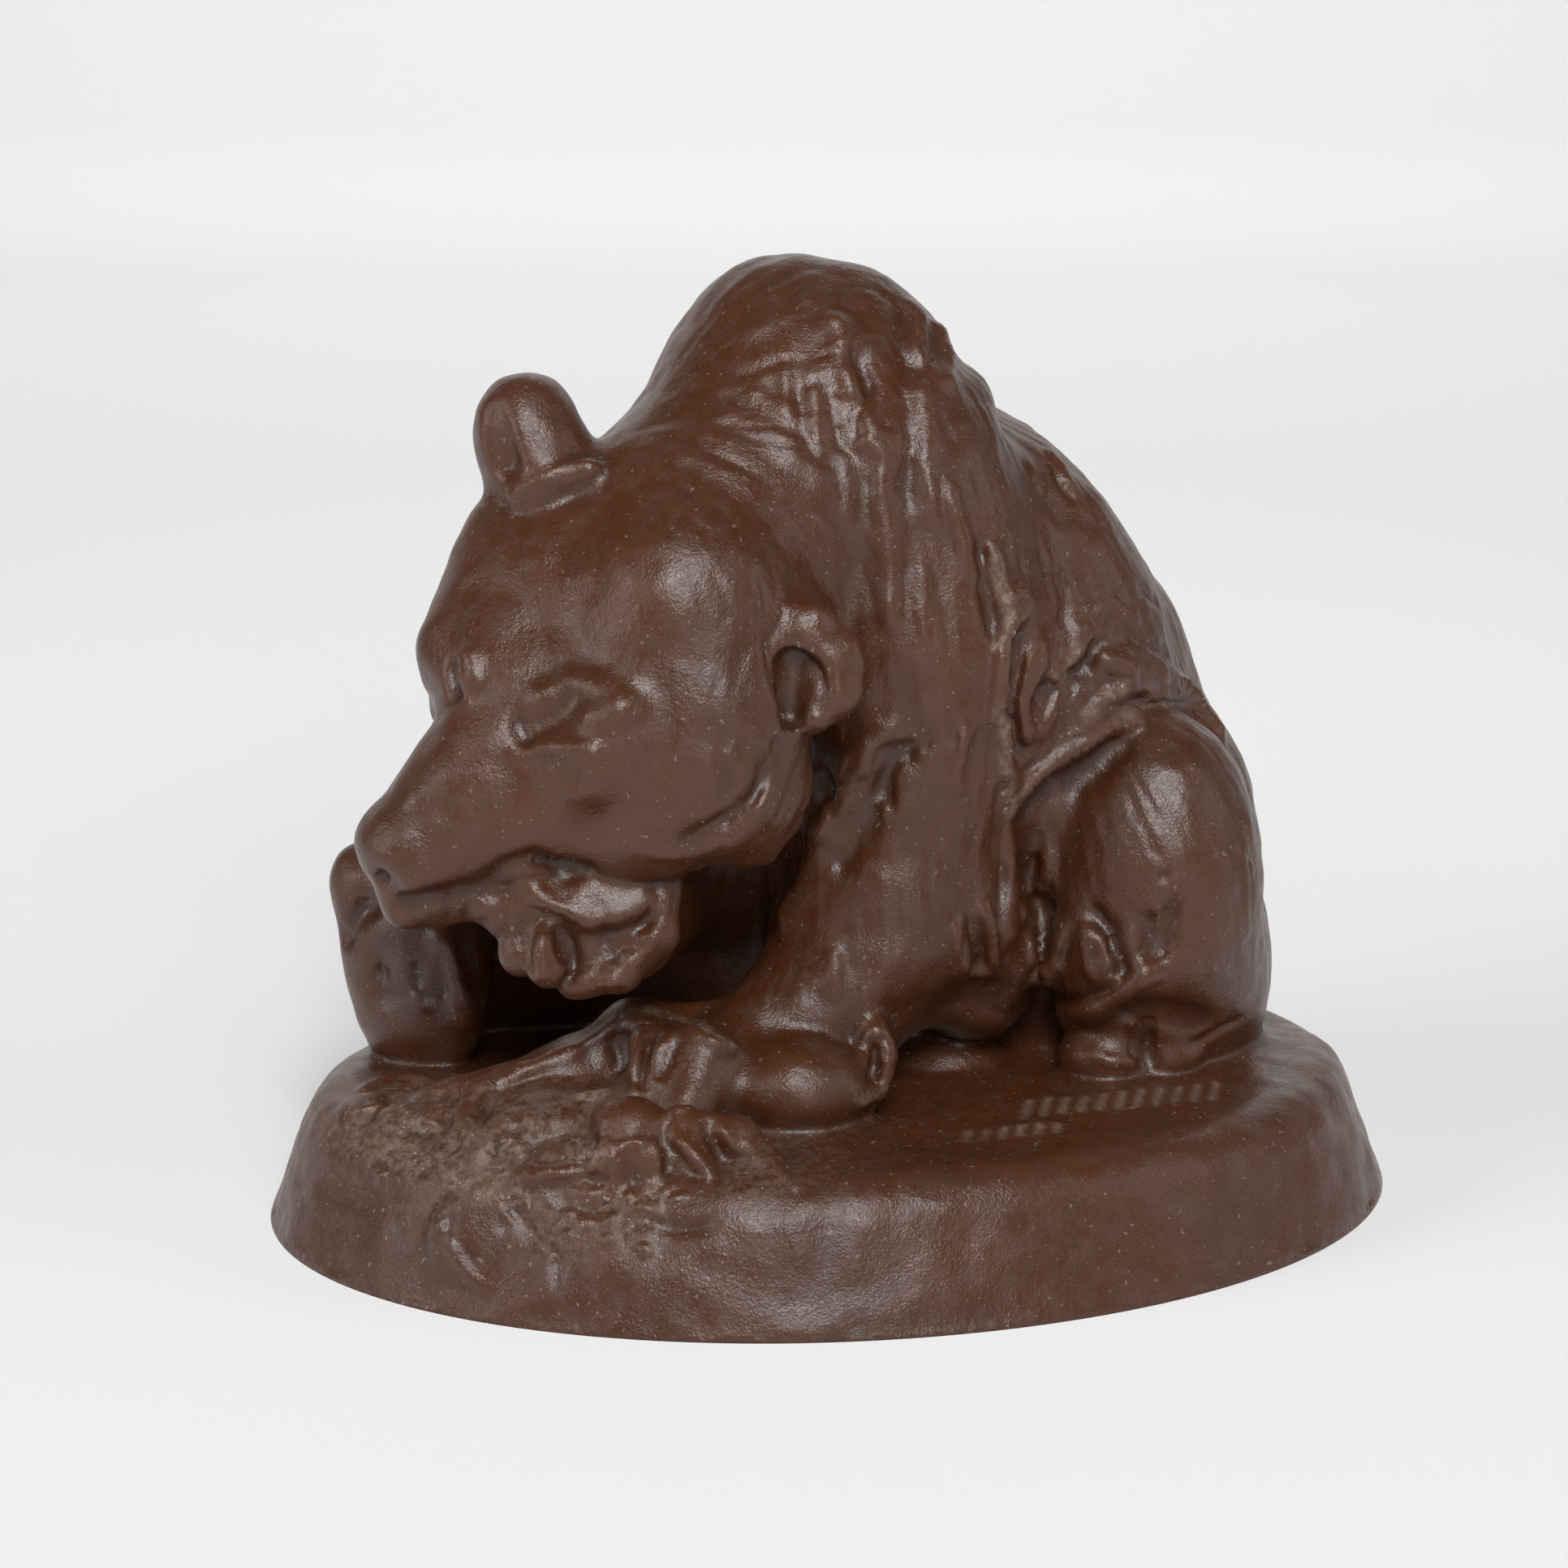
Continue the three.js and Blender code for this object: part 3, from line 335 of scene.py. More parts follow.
# Carving of the face: the valley between the domes of the skull, the crest of the muzzle, the eyes
# with their brows and lids, the wrinkles of the cheek and the parting of the mouth.
FACE_CARVING = (
    groove(1.3, 5, (735, 610), (715, 690), (692, 790), (675, 860)),
    fold(0.5, 4, (640, 660), (610, 750), (596, 810)),
    fold(0.6, 4, (645, 870), (600, 915), (545, 960), (500, 1005)),
    groove(1.2, 1.2, (562, 820), (564, 852)),
    fold(1.1, 1.6, (577, 812), (580, 838)),
    fold(0.9, 1.8, (672, 856), (700, 836), (738, 842), (770, 868)),
    fold(0.8, 2, (728, 880), (748, 884)),
    fold(0.8, 1.4, (645, 925), (685, 924), (727, 930)),
    groove(0.9, 1.2, (640, 890), (648, 915)),
    groove(0.7, 1.2, (696, 948), (706, 956)),
    groove(0.7, 1.3, (850, 1035), (905, 1003), (938, 965), (958, 920)),
    fold(1, 3, (900, 1030), (930, 1000)),
    groove(1.5, 1.2, (500, 1113), (531, 1107), (594, 1093), (627, 1066), (657, 1058), (700, 1070)),
    groove(0.8, 1.6, (472, 1083), (480, 1088)),
)

# Carving of the shoulder: locks that run down from the hump.
SHOULDER_CARVING = (
    fold(1.1, 1.5, (1025, 397), (1038, 428), (1045, 460), (1055, 487)),
    groove(1.1, 1.4, (1050, 440), (1064, 475), (1060, 505)),
    fold(0.8, 1.6, (1062, 510), (1070, 548)),
    fold(1.1, 2, (1090, 545), (1085, 600), (1092, 680), (1090, 750)),
    groove(0.6, 1.8, (1108, 370), (1116, 450), (1120, 540), (1116, 600)),
    fold(0.8, 2, (1135, 480), (1140, 560), (1150, 630)),
    fold(0.9, 1.4, (1120, 375), (1133, 400), (1132, 435)),
    fold(1, 1.6, (1156, 410), (1162, 437), (1164, 470)),
    fold(0.8, 1.6, (1170, 610), (1184, 655), (1200, 700)),
)

# The furrow of the flank, with ropes of skin beside it.
FURROW_CARVING = (
    fold(1.3, 1.3, (1221, 680), (1228, 710), (1238, 745)),
    groove(1.2, 1.3, (1208, 680), (1222, 740), (1228, 780)),
    fold(1.6, 1.5, (1257, 735), (1252, 755), (1242, 778)),
    fold(1.4, 1.3, (1234, 795), (1233, 830), (1228, 880)),
    groove(2, 1.6, (1255, 790), (1257, 830), (1250, 870), (1254, 925)),
    fold(1.2, 1.4, (1280, 800), (1272, 835), (1258, 860), (1263, 905)),
    fold(1.5, 1.5, (1240, 890), (1238, 945)),
    fold(1.2, 1.5, (1246, 960), (1248, 1010), (1244, 1080), (1242, 1150)),
    groove(2, 2.2, (1266, 1020), (1265, 1060), (1262, 1100)),
)

# Folds of skin over the top of the thigh, and the recess under them.
HIP_FOLDS = (
    fold(1.9, 1.5, (1255, 985), (1290, 948), (1325, 925), (1355, 905), (1390, 882)),
    groove(2, 2.2, (1262, 1003), (1298, 966), (1335, 945), (1372, 922)),
    fold(1.2, 1.5, (1340, 888), (1360, 862), (1382, 848)),
    fold(1.2, 1.5, (1398, 850), (1432, 856), (1458, 852)),
    groove(0.9, 1.2, (1392, 872), (1425, 866), (1460, 862)),
    fold(1.1, 1.6, (1352, 812), (1395, 822), (1435, 834), (1470, 862), (1500, 900)),
    fold(1, 1.8, (1300, 830), (1322, 805), (1332, 782)),
    groove(0.9, 1.4, (1352, 795), (1342, 822), (1310, 838), (1282, 852)),
    fold(0.7, 1.6, (1280, 900), (1300, 870), (1325, 850)),
)

# Tufts at the elbow and on the thigh, and the toes.
TUFTS_AND_TOES = (
    fold(1.2, 1.5, (1184, 1145), (1186, 1190)),
    groove(1.2, 1.4, (1198, 1140), (1207, 1190)),
    fold(1.2, 1.5, (1210, 1120), (1218, 1165), (1216, 1200)),
    groove(1.4, 3, (1165, 1240), (1210, 1225), (1270, 1240)),
    fold(0.9, 1.3, (1290, 1050), (1281, 1090)),
    fold(1, 1.4, (1263, 1110), (1270, 1150), (1273, 1188)),
    groove(1, 1.3, (1287, 1120), (1285, 1160), (1276, 1192)),
    fold(1.1, 1.4, (1310, 1148), (1301, 1180), (1285, 1205)),
    groove(1.1, 1.4, (1350, 1128), (1366, 1148), (1371, 1178), (1382, 1192)),
    fold(0.9, 1.5, (1342, 1150), (1347, 1195)),
    groove(0.9, 1.3, (1446, 1112), (1437, 1150), (1420, 1176)),
    groove(0.8, 1.3, (1414, 1136), (1417, 1165)),
    fold(1.4, 1.6, (1410, 1200), (1388, 1222), (1360, 1240), (1312, 1252)),
    groove(1.8, 2, (1395, 1245), (1440, 1252), (1475, 1262)),
    groove(1.3, 1.2, (1413, 1272), (1414, 1304)),
)

# Long folds of the upper foreleg, and the folds at the wrist.
FORELEG_CARVING = (
    fold(1.2, 2.2, (1062, 950), (1030, 995), (1005, 1040), (970, 1125)),
    groove(1.3, 2, (1095, 925), (1087, 965), (1072, 1010), (1040, 1060)),
    fold(0.9, 1.8, (1092, 905), (1066, 930), (1040, 960)),
    groove(1.5, 3, (1010, 975), (985, 1030), (965, 1080)),
    groove(0.7, 1.6, (1126, 900), (1120, 935)),
    fold(0.8, 2, (1196, 890), (1182, 930), (1175, 965)),
    fold(0.7, 1.6, (1028, 1178), (1026, 1212)),
    fold(0.6, 2.5, (1092, 1180), (1066, 1232)),
    fold(1, 1.3, (1082, 1272), (1066, 1290), (1066, 1312)),
    groove(0.9, 1.2, (1079, 1288), (1080, 1325)),
    fold(1.2, 1.3, (1092, 1288), (1091, 1322), (1083, 1342), (1062, 1352)),
)

# The paws and the ground before them.
PAWS_AND_GROUND = (
    groove(2.6, 1.6, (770, 1290), (766, 1335)),
    fold(1.1, 1.7, (786, 1268), (780, 1340)),
    groove(0.8, 1.3, (805, 1270), (795, 1335)),
    fold(0.8, 1.8, (828, 1278), (812, 1340)),
    fold(1.2, 1.4, (650, 1095), (690, 1125), (735, 1135), (800, 1112)),
    groove(1, 1.4, (650, 1146), (668, 1134), (690, 1146), (702, 1180)),
    groove(1.2, 1.6, (455, 1118), (437, 1132), (427, 1152)),
    groove(0.7, 2.2, (470, 1185), (476, 1218)),
    fold(1.3, 1.6, (546, 1155), (553, 1190), (566, 1225), (571, 1252)),
    fold(1.1, 1.4, (700, 1300), (650, 1320), (605, 1345), (572, 1385)),
    fold(1, 1.5, (660, 1385), (625, 1378), (590, 1420)),
    fold(1.2, 1.8, (655, 1440), (700, 1437), (735, 1425)),
    groove(1.5, 2.2, (720, 1395), (722, 1412)),
    groove(1, 5, (630, 1480), (720, 1492), (800, 1500)),
)


# The masses are smoothed into one skin. First the lumps are fused, then each point of the skin is
# eased onto the blended surface, where neighbouring masses run together as wetted clay does.
FUSE_VOXEL = 1.1
SKIN_VOXEL = 0.6
CARVED = 4            # no stroke of the carving is deeper or higher than this
THREAD = 0.01         # the thickness of the line that a stroke runs along
strokes = []          # the limbs of each stroke of the carving, its height and its width


def surface(points):
    """Distance from the blended surface, negative inside the clay."""
    depth = np.full(len(points), np.inf)
    for mass, blend, sign in clay:
        away = np.linalg.norm(points - mass.centre, axis=1) - mass.reach
        near = np.flatnonzero(away < sign * depth + blend)
        d = depth[near]
        e = sign * mass.distance(points[near])
        h = np.maximum(blend - np.abs(d - e), 0) / blend if blend else 0
        fillet = h * h * blend / 4
        depth[near] = np.minimum(d, e) - fillet if sign > 0 else np.maximum(d, e) + fillet
    carved = np.flatnonzero(np.abs(depth) < CARVED)
    depth[carved] -= carving(points[carved], depth[carved])
    return depth


def carving(points, depth):
    """How far the strokes of the carving lift the surface at points that are `depth` away."""
    lift = np.zeros(len(points))
    for parts, height, width in strokes:
        margin = 3 * width
        low = np.min([part.centre - part.reach for part in parts], axis=0) - margin
        high = np.max([part.centre + part.reach for part in parts], axis=0) + margin
        near = np.flatnonzero(((points > low) & (points < high)).all(axis=1))
        away = np.min([part.distance(points[near]) for part in parts], axis=0)
        beside = np.maximum(away ** 2 - depth[near] ** 2, 0)
        lift[near] += height * np.exp(-beside / width ** 2)
    return lift


def slope(points, reach=0.1):
    """How the distance grows along X, Y and Z."""
    ways = np.eye(3) * reach
    return np.stack([surface(points + w) - surface(points - w) for w in ways], axis=1) / (2 * reach)


def get_points(mesh):
    points = np.empty(3 * len(mesh.vertices))
    mesh.vertices.foreach_get("co", points)
    return points.reshape(-1, 3)


def set_points(mesh, points):
    mesh.vertices.foreach_set("co", points.ravel())
    mesh.update()


def ease(mesh, rounds, limit):
    points = get_points(mesh)
    for _ in range(rounds):
        grade = slope(points)
        move = -(surface(points) / np.maximum((grade**2).sum(axis=1), 0.25))[:, None] * grade
        size = np.linalg.norm(move, axis=1, keepdims=True)
        points += move * np.minimum(1, limit / np.maximum(size, 1e-9))
    set_points(mesh, points)


def apply_modifier(piece, kind, **settings):
    modifier = piece.modifiers.new(kind.title(), kind)
    for name, value in settings.items():
        setattr(modifier, name, value)
    bpy.ops.object.modifier_apply(modifier=modifier.name)


bpy.ops.object.select_all(action="DESELECT")
for lump in lumps:
    lump.select_set(True)
bpy.context.view_layer.objects.active = lumps[0]
bpy.ops.object.join()
bear = bpy.context.object
bear.name = bear.data.name = "bear"
bpy.ops.object.transform_apply()
apply_modifier(bear, "REMESH", mode="VOXEL", voxel_size=FUSE_VOXEL)
ease(bear.data, rounds=3, limit=FUSE_VOXEL)


def tree_of_skin():
    return BVHTree.FromObject(bear, bpy.context.evaluated_depsgraph_get())


def where_seen(tree, u, v):
    """The point of the skin that shows at a pixel of the photograph, and its normal."""
    across = (u - PHOTO_PIXELS / 2) / FOCAL_PIXELS
    up = (PHOTO_PIXELS / 2 - v) / FOCAL_PIXELS
    way = sight + across * Vector((1, 0, 0)) + up * overhead
    return tree.ray_cast(eye, way.normalized())[:2]


# The strokes are laid on the plain masses, and the skin is then eased onto them as well.
plain_tree = tree_of_skin()
for carving_of_part in (
    FACE_CARVING,
    SHOULDER_CARVING,
    FURROW_CARVING,
    HIP_FOLDS,
    TUFTS_AND_TOES,
    FORELEG_CARVING,
    PAWS_AND_GROUND,
):
    for height, width, pixels in carving_of_part:
        path = [where_seen(plain_tree, *pixel)[0] for pixel in pixels]
        path = [point for point in path if point is not None]
        parts = [Limb(figure, start, end, THREAD, THREAD) for start, end in zip(path, path[1:])]
        if parts:
            strokes.append((parts, height, width))
apply_modifier(bear, "REMESH", mode="VOXEL", voxel_size=SKIN_VOXEL)
ease(bear.data, rounds=2, limit=SKIN_VOXEL)


# The finest strokes of the modelling tool, which the mould has kept: locks of fur, wrinkles, cuts
# and crumbs of clay. Each line is drawn through where it shows in the view, and the skin along it
# is raised, or pressed in, by a part of a millimetre. Lines taper to their ends.
LINE_STEP = 8           # pixels between the points of a line
LINE_BREAK = 3.5        # a longer step over the skin, in millimetres, is a jump to a form behind


def ways_out():
    out = np.empty(3 * len(bear.data.vertices))
    bear.data.vertices.foreach_get("normal", out)
    return out.reshape(-1, 3)


skin = get_points(bear.data)
outward = ways_out()
lifted = np.zeros(len(skin))
skin_tree = tree_of_skin()


def run_through(line):
    """Points on the skin along a smooth curve through the pixels of a line."""
    line = np.array(line, float)
    line = np.vstack([2 * line[0] - line[1], line, 2 * line[-1] - line[-2]])
    run = []
    for before, start, end, after in zip(line, line[1:], line[2:], line[3:]):
        steps = max(1, round(np.linalg.norm(end - start) / LINE_STEP))
        for t in np.arange(steps) / steps:
            swing = (end - before) * t + (2 * before - 5 * start + 4 * end - after) * t**2
            swing += (3 * start - before - 3 * end + after) * t**3
            run.append(where_seen(skin_tree, *(start + swing / 2).tolist()))
    run.append(where_seen(skin_tree, *line[-2].tolist()))
    run = [(np.array(point), np.array(normal)) for point, normal in run if point is not None]
    whole = []
    for point, normal in run:
        if whole and np.linalg.norm(point - whole[-1][0]) > LINE_BREAK:
            break
        whole.append((point, normal))
    return whole


def near_line(line, width):
    """Which points of the skin lie near a line, how far off, and how far along it from 0 to 1."""
    run = run_through(line)
    if len(run) < 2:
        return None
    path = np.array([point for point, _ in run])
    facing = np.mean([normal for _, normal in run], axis=0)
    margin = 2.5 * width
    box = (skin > path.min(axis=0) - margin) & (skin < path.max(axis=0) + margin)
    near = np.flatnonzero(box.all(axis=1) & (outward @ facing > 0))
    starts = path[:-1]
    steps = path[1:] - starts
    from_starts = skin[near][:, None] - starts
    t = np.clip((from_starts * steps).sum(axis=2) / (steps**2).sum(axis=1), 0, 1)
    off = np.linalg.norm(from_starts - t[:, :, None] * steps, axis=2)
    best = off.argmin(axis=1)
    rows = np.arange(len(near))
    return near, off[rows, best], (best + t[rows, best]) / len(steps)


def draw(lines, height, width):
    """Raises ridges along lines, or presses grooves where the height is negative."""
    for line in lines:
        found = near_line(line, width)
        if found is None:
            continue
        near, off, along = found
        taper = np.sqrt(np.clip(4 * along * (1 - along), 0, 1))
        lifted[near] += height * taper * np.exp(-((off / width) ** 2))


# Face: the lids and the brow of the near eye, wrinkles over the cheek and the jaw, the lips, and
# the crease of the ear against the cheek.
NEAR_EYE = (
    ((645, 888), (666, 866), (700, 850), (738, 852)),
    ((655, 905), (690, 916), (726, 914), (750, 900)),
    ((640, 916), (668, 922), (705, 922), (738, 930)),
    ((716, 888), (738, 882), (758, 888)),
    ((750, 868), (768, 872), (776, 884)),
)
FACE_RIDGES = (
    ((560, 812), (574, 806), (584, 820), (584, 845)),
    ((500, 1104), (556, 1096), (600, 1080), (640, 1050)),
    ((476, 1124), (505, 1141), (550, 1144), (592, 1128)),
    ((892, 925), (912, 950), (905, 985)),
    ((938, 905), (950, 940), (940, 985), (905, 1020)),
    ((770, 1045), (830, 1056), (885, 1046)),
    ((612, 515), (620, 540), (622, 575)),
    ((632, 600), (665, 592), (700, 574), (728, 570)),
)
FACE_CUTS = (
    ((636, 932), (668, 936), (705, 935), (742, 944)),
    ((562, 820), (560, 836), (564, 852)),
    ((878, 930), (896, 956), (890, 990)),
    ((925, 915), (936, 950), (925, 992)),
    ((860, 1022), (905, 1006), (940, 970), (962, 915)),
    ((548, 1108), (556, 1122), (552, 1138)),
    ((568, 1100), (578, 1118), (572, 1134)),
    ((958, 762), (948, 800), (955, 850), (966, 900)),
    ((600, 530), (606, 560), (612, 588)),
    ((740, 960), (700, 968), (668, 962)),
)
EAR_RIM = ((962, 748), (1008, 752), (1042, 778), (1058, 815), (1058, 852), (1042, 882), (1018, 892))
EAR_CURL = ((952, 814), (978, 806), (1002, 820), (1012, 850), (1004, 880))
NOSTRIL = ((464, 1078), (478, 1086))
MOUTH_GAP = ((648, 1058), (690, 1064), (738, 1070))
draw(NEAR_EYE, height=0.2, width=1.4)
draw(FACE_RIDGES, height=0.38, width=1)
draw(FACE_CUTS, height=-0.42, width=0.75)
draw([EAR_RIM], height=0.5, width=1.1)
draw([EAR_CURL, NOSTRIL, MOUTH_GAP], height=-0.9, width=1)

# Neck: long shallow locks that run from behind the far ear over the nape to the shoulder.
NECK_LOCKS = (
    ((745, 566), (830, 590), (900, 640), (962, 705)),
    ((762, 548), (860, 566), (945, 622), (1004, 712)),
    ((790, 530), (880, 540), (968, 596), (1026, 690)),
    ((800, 500), (890, 505), (985, 560), (1046, 650)),
    ((830, 470), (915, 478), (1000, 530), (1055, 610)),
    ((770, 590), (850, 625), (915, 680), (955, 735)),
    ((900, 560), (950, 600), (990, 650)),
    ((1010, 640), (1024, 680), (1030, 730)),
)
draw(NECK_LOCKS, height=0.14, width=1.3)
draw([[(u + 14, v - 12) for u, v in line] for line in NECK_LOCKS], height=-0.12, width=1.1)

# Shoulder: locks cut down the hump and the shoulder blade, with sharp edges.
SHOULDER_LOCKS = (
    ((1035, 383), (1050, 400), (1064, 420)),
    ((1026, 388), (1040, 402), (1048, 420)),
    ((1033, 412), (1041, 428), (1040, 442)),
    ((1044, 452), (1050, 474), (1057, 490)),
    ((1050, 500), (1066, 508), (1073, 526), (1070, 548)),
    ((1089, 542), (1086, 590), (1079, 622), (1090, 660)),
    ((1104, 500), (1108, 556), (1100, 592)),
    ((1092, 650), (1099, 700), (1095, 765)),
    ((1128, 660), (1136, 720), (1140, 790)),
    ((1176, 612), (1186, 646), (1198, 688)),
    ((1168, 610), (1177, 648), (1189, 694)),
    ((1208, 498), (1222, 530), (1231, 566)),
    ((1130, 363), (1137, 390), (1134, 418)),
    ((1121, 370), (1128, 396), (1124, 432)),
    ((1155, 394), (1166, 420), (1171, 448)),
    ((1170, 408), (1179, 432), (1177, 454)),
    ((1040, 560), (1046, 610), (1040, 660)),
    ((1000, 470), (1006, 520), (1012, 570)),
    ((970, 430), (966, 470), (972, 520)),
)
SHOULDER_CUTS = (
    ((1053, 438), (1066, 470), (1071, 498), (1058, 504)),
    ((1053, 512), (1058, 542)),
    ((1078, 560), (1070, 600), (1080, 650)),
    ((1150, 560), (1160, 602), (1167, 650)),
    ((1160, 508), (1168, 545)),
    ((1224, 494), (1240, 522), (1252, 556)),
    ((1144, 398), (1150, 430), (1148, 452)),
    ((1138, 410), (1142, 440)),
    ((1020, 480), (1030, 530), (1036, 560)),
    ((985, 440), (984, 490), (992, 545)),
    ((1150, 690), (1164, 760), (1168, 830)),
    ((1082, 690), (1076, 740), (1080, 790)),
)
draw(SHOULDER_LOCKS, height=0.34, width=0.8)
draw(SHOULDER_CUTS, height=-0.3, width=0.8)

# Flank: ropes of skin along the furrow behind the foreleg, and folds that fan out over the thigh.
FLANK_ROPES = (
    ((1213, 684), (1219, 706), (1229, 738), (1237, 764)),
    ((1224, 670), (1231, 700), (1238, 734)),
    ((1245, 652), (1247, 676), (1245, 694)),
    ((1250, 742), (1258, 729), (1268, 740), (1264, 760)),
    ((1236, 764), (1244, 784), (1251, 792)),
    ((1232, 794), (1234, 820), (1228, 846), (1224, 880), (1222, 908)),
    ((1241, 842), (1237, 866), (1231, 894)),
    ((1238, 888), (1236, 918), (1246, 930)),
    ((1238, 938), (1246, 966), (1243, 990)),
    ((1260, 798), (1266, 828), (1257, 862), (1260, 890), (1268, 926)),
    ((1290, 806), (1289, 824), (1301, 836), (1316, 830)),
    ((1352, 810), (1376, 814), (1402, 822)),
    ((1366, 822), (1384, 829), (1404, 828)),
    ((1352, 766), (1358, 748), (1367, 735)),
    ((1367, 737), (1386, 755), (1403, 767)),
    ((1380, 798), (1412, 807), (1442, 828)),
    ((1458, 834), (1480, 860), (1493, 888)),
    ((1396, 879), (1420, 876), (1442, 872)),
    ((1402, 868), (1425, 858), (1456, 852)),
    ((1342, 888), (1356, 866), (1384, 848)),
    ((1252, 986), (1288, 950), (1324, 927), (1360, 906), (1390, 885)),
    ((1300, 912), (1335, 897), (1352, 882)),
    ((1288, 546), (1302, 580), (1320, 602)),
    ((1300, 560), (1316, 590), (1336, 616)),
    ((1262, 560), (1274, 590), (1290, 610)),
)
FLANK_CUTS = (
    ((1226, 698), (1232, 718), (1238, 740)),
    ((1247, 800), (1250, 830), (1246, 870), (1250, 900)),
    ((1284, 800), (1281, 826), (1270, 846), (1257, 864)),
    ((1316, 836), (1332, 822), (1352, 815)),
    ((1301, 850), (1290, 872), (1284, 900)),
    ((1326, 840), (1318, 862), (1304, 878)),
    ((1308, 908), (1340, 891), (1358, 872), (1384, 858)),
    ((1440, 830), (1466, 852), (1482, 882)),
    ((1400, 720), (1414, 734), (1427, 746)),
    ((1390, 864), (1414, 858), (1452, 846)),
    ((1473, 872), (1490, 884), (1502, 905)),
    ((1345, 790), (1346, 806), (1330, 826)),
    ((1290, 560), (1306, 594), (1326, 618)),
    ((1256, 958), (1272, 944), (1292, 934)),
    ((1300, 700), (1312, 740), (1306, 775)),
)
draw(FLANK_ROPES, height=0.5, width=0.75)
draw(FLANK_CUTS, height=-0.5, width=0.75)

# Foreleg: the tuft at the elbow, the slits of the armpit, and the folds of the wrist.
FORELEG_RIDGES = (
    ((1183, 1142), (1180, 1166), (1184, 1192)),
    ((1198, 1128), (1202, 1150), (1200, 1180)),
    ((1210, 1118), (1222, 1150), (1222, 1194)),
    ((1244, 1040), (1243, 1098), (1240, 1152)),
    ((1226, 1180), (1230, 1202), (1228, 1226)),
    ((1012, 986), (1018, 1004), (1002, 1040)),
    ((1064, 928), (1080, 916), (1092, 906)),
    ((1082, 990), (1092, 996), (1088, 1010)),
    ((1195, 895), (1184, 930), (1176, 966)),
    ((1086, 1266), (1070, 1280), (1065, 1304)),
    ((1089, 1284), (1091, 1310), (1086, 1332)),
    ((1026, 1170), (1028, 1192), (1025, 1214)),
)
FORELEG_CUTS = (
    ((1190, 1142), (1192, 1166), (1190, 1192)),
    ((1205, 1132), (1209, 1164), (1214, 1194)),
    ((1234, 1060), (1233, 1100), (1228, 1148)),
    ((1088, 944), (1085, 968), (1080, 990)),
    ((1034, 980), (1050, 972), (1070, 958)),
    ((1124, 908), (1118, 938)),
    ((1146, 900), (1138, 928)),
    ((1079, 1288), (1078, 1314), (1070, 1332)),
    ((1086, 1336), (1070, 1346), (1058, 1352)),
    ((1105, 930), (1096, 960), (1098, 1000)),
    ((1052, 930), (1040, 955), (1020, 975)),
)
draw(FORELEG_RIDGES, height=0.55, width=0.75)
draw(FORELEG_CUTS, height=-0.6, width=0.75)

# Thigh and hind foot: tufts along the lower edge of the thigh, and the toes.
THIGH_TUFTS = (
    ((1284, 1048), (1292, 1066), (1284, 1088)),
    ((1297, 1078), (1305, 1098)),
    ((1262, 1112), (1260, 1142)),
    ((1268, 1148), (1276, 1182), (1288, 1206)),
    ((1312, 1142), (1306, 1166), (1299, 1190), (1284, 1204)),
    ((1286, 1184), (1290, 1206), (1300, 1224)),
    ((1356, 1150), (1360, 1172), (1370, 1184)),
    ((1352, 1196), (1364, 1186), (1376, 1192)),
    ((1414, 1192), (1402, 1212), (1380, 1226), (1362, 1242)),
    ((1358, 1244), (1336, 1246), (1314, 1252)),
    ((1424, 1140), (1422, 1160), (1416, 1180)),
    ((1528, 1040), (1535, 1100), (1538, 1156)),
    ((1540, 1060), (1546, 1124)),
    ((1340, 1292), (1362, 1306), (1400, 1308)),
)
THIGH_CUTS = (
    ((1276, 1052), (1272, 1076), (1264, 1100)),
    ((1266, 1104), (1284, 1115), (1304, 1118)),
    ((1270, 1120), (1270, 1146)),
    ((1288, 1124), (1287, 1150), (1282, 1174)),
    ((1318, 1148), (1312, 1172), (1304, 1194)),
    ((1348, 1128), (1362, 1141), (1368, 1158), (1371, 1178)),
    ((1345, 1162), (1347, 1198)),
    ((1446, 1112), (1438, 1140), (1422, 1164)),
    ((1416, 1130), (1418, 1150), (1412, 1172)),
    ((1448, 1150), (1440, 1166), (1424, 1180)),
    ((1430, 1072), (1437, 1088)),
    ((1382, 1184), (1386, 1196), (1378, 1206)),
    ((1460, 1290), (1490, 1276), (1532, 1254)),
    ((1386, 1264), (1395, 1284), (1396, 1306)),
    ((1413, 1270), (1416, 1288), (1413, 1306)),
    ((1300, 1235), (1342, 1228), (1386, 1212)),
)
draw(THIGH_TUFTS, height=0.5, width=0.75)
draw(THIGH_CUTS, height=-0.65, width=0.7)

# Raised paw and the sole of the hind foot: pads, the curled digit and the worn edges.
PAW_RIDGES = (
    ((600, 1106), (592, 1140), (597, 1164), (607, 1174)),
    ((607, 1174), (626, 1182), (633, 1202)),
    ((655, 1102), (690, 1123), (732, 1136), (790, 1122)),
    ((668, 1150), (664, 1180), (670, 1212)),
    ((690, 1160), (697, 1180), (694, 1200)),
    ((768, 1152), (788, 1156), (802, 1146)),
    ((822, 1088), (816, 1130), (801, 1162), (775, 1192)),
    ((748, 1190), (762, 1184), (774, 1172)),
    ((735, 1206), (752, 1212), (764, 1206)),
    ((452, 1120), (440, 1132), (430, 1150)),
    ((545, 1154), (553, 1172), (559, 1198)),
    ((560, 1202), (568, 1222), (573, 1248)),
    ((505, 1224), (520, 1236), (537, 1244)),
    ((446, 1052), (424, 1062), (413, 1084)),
)
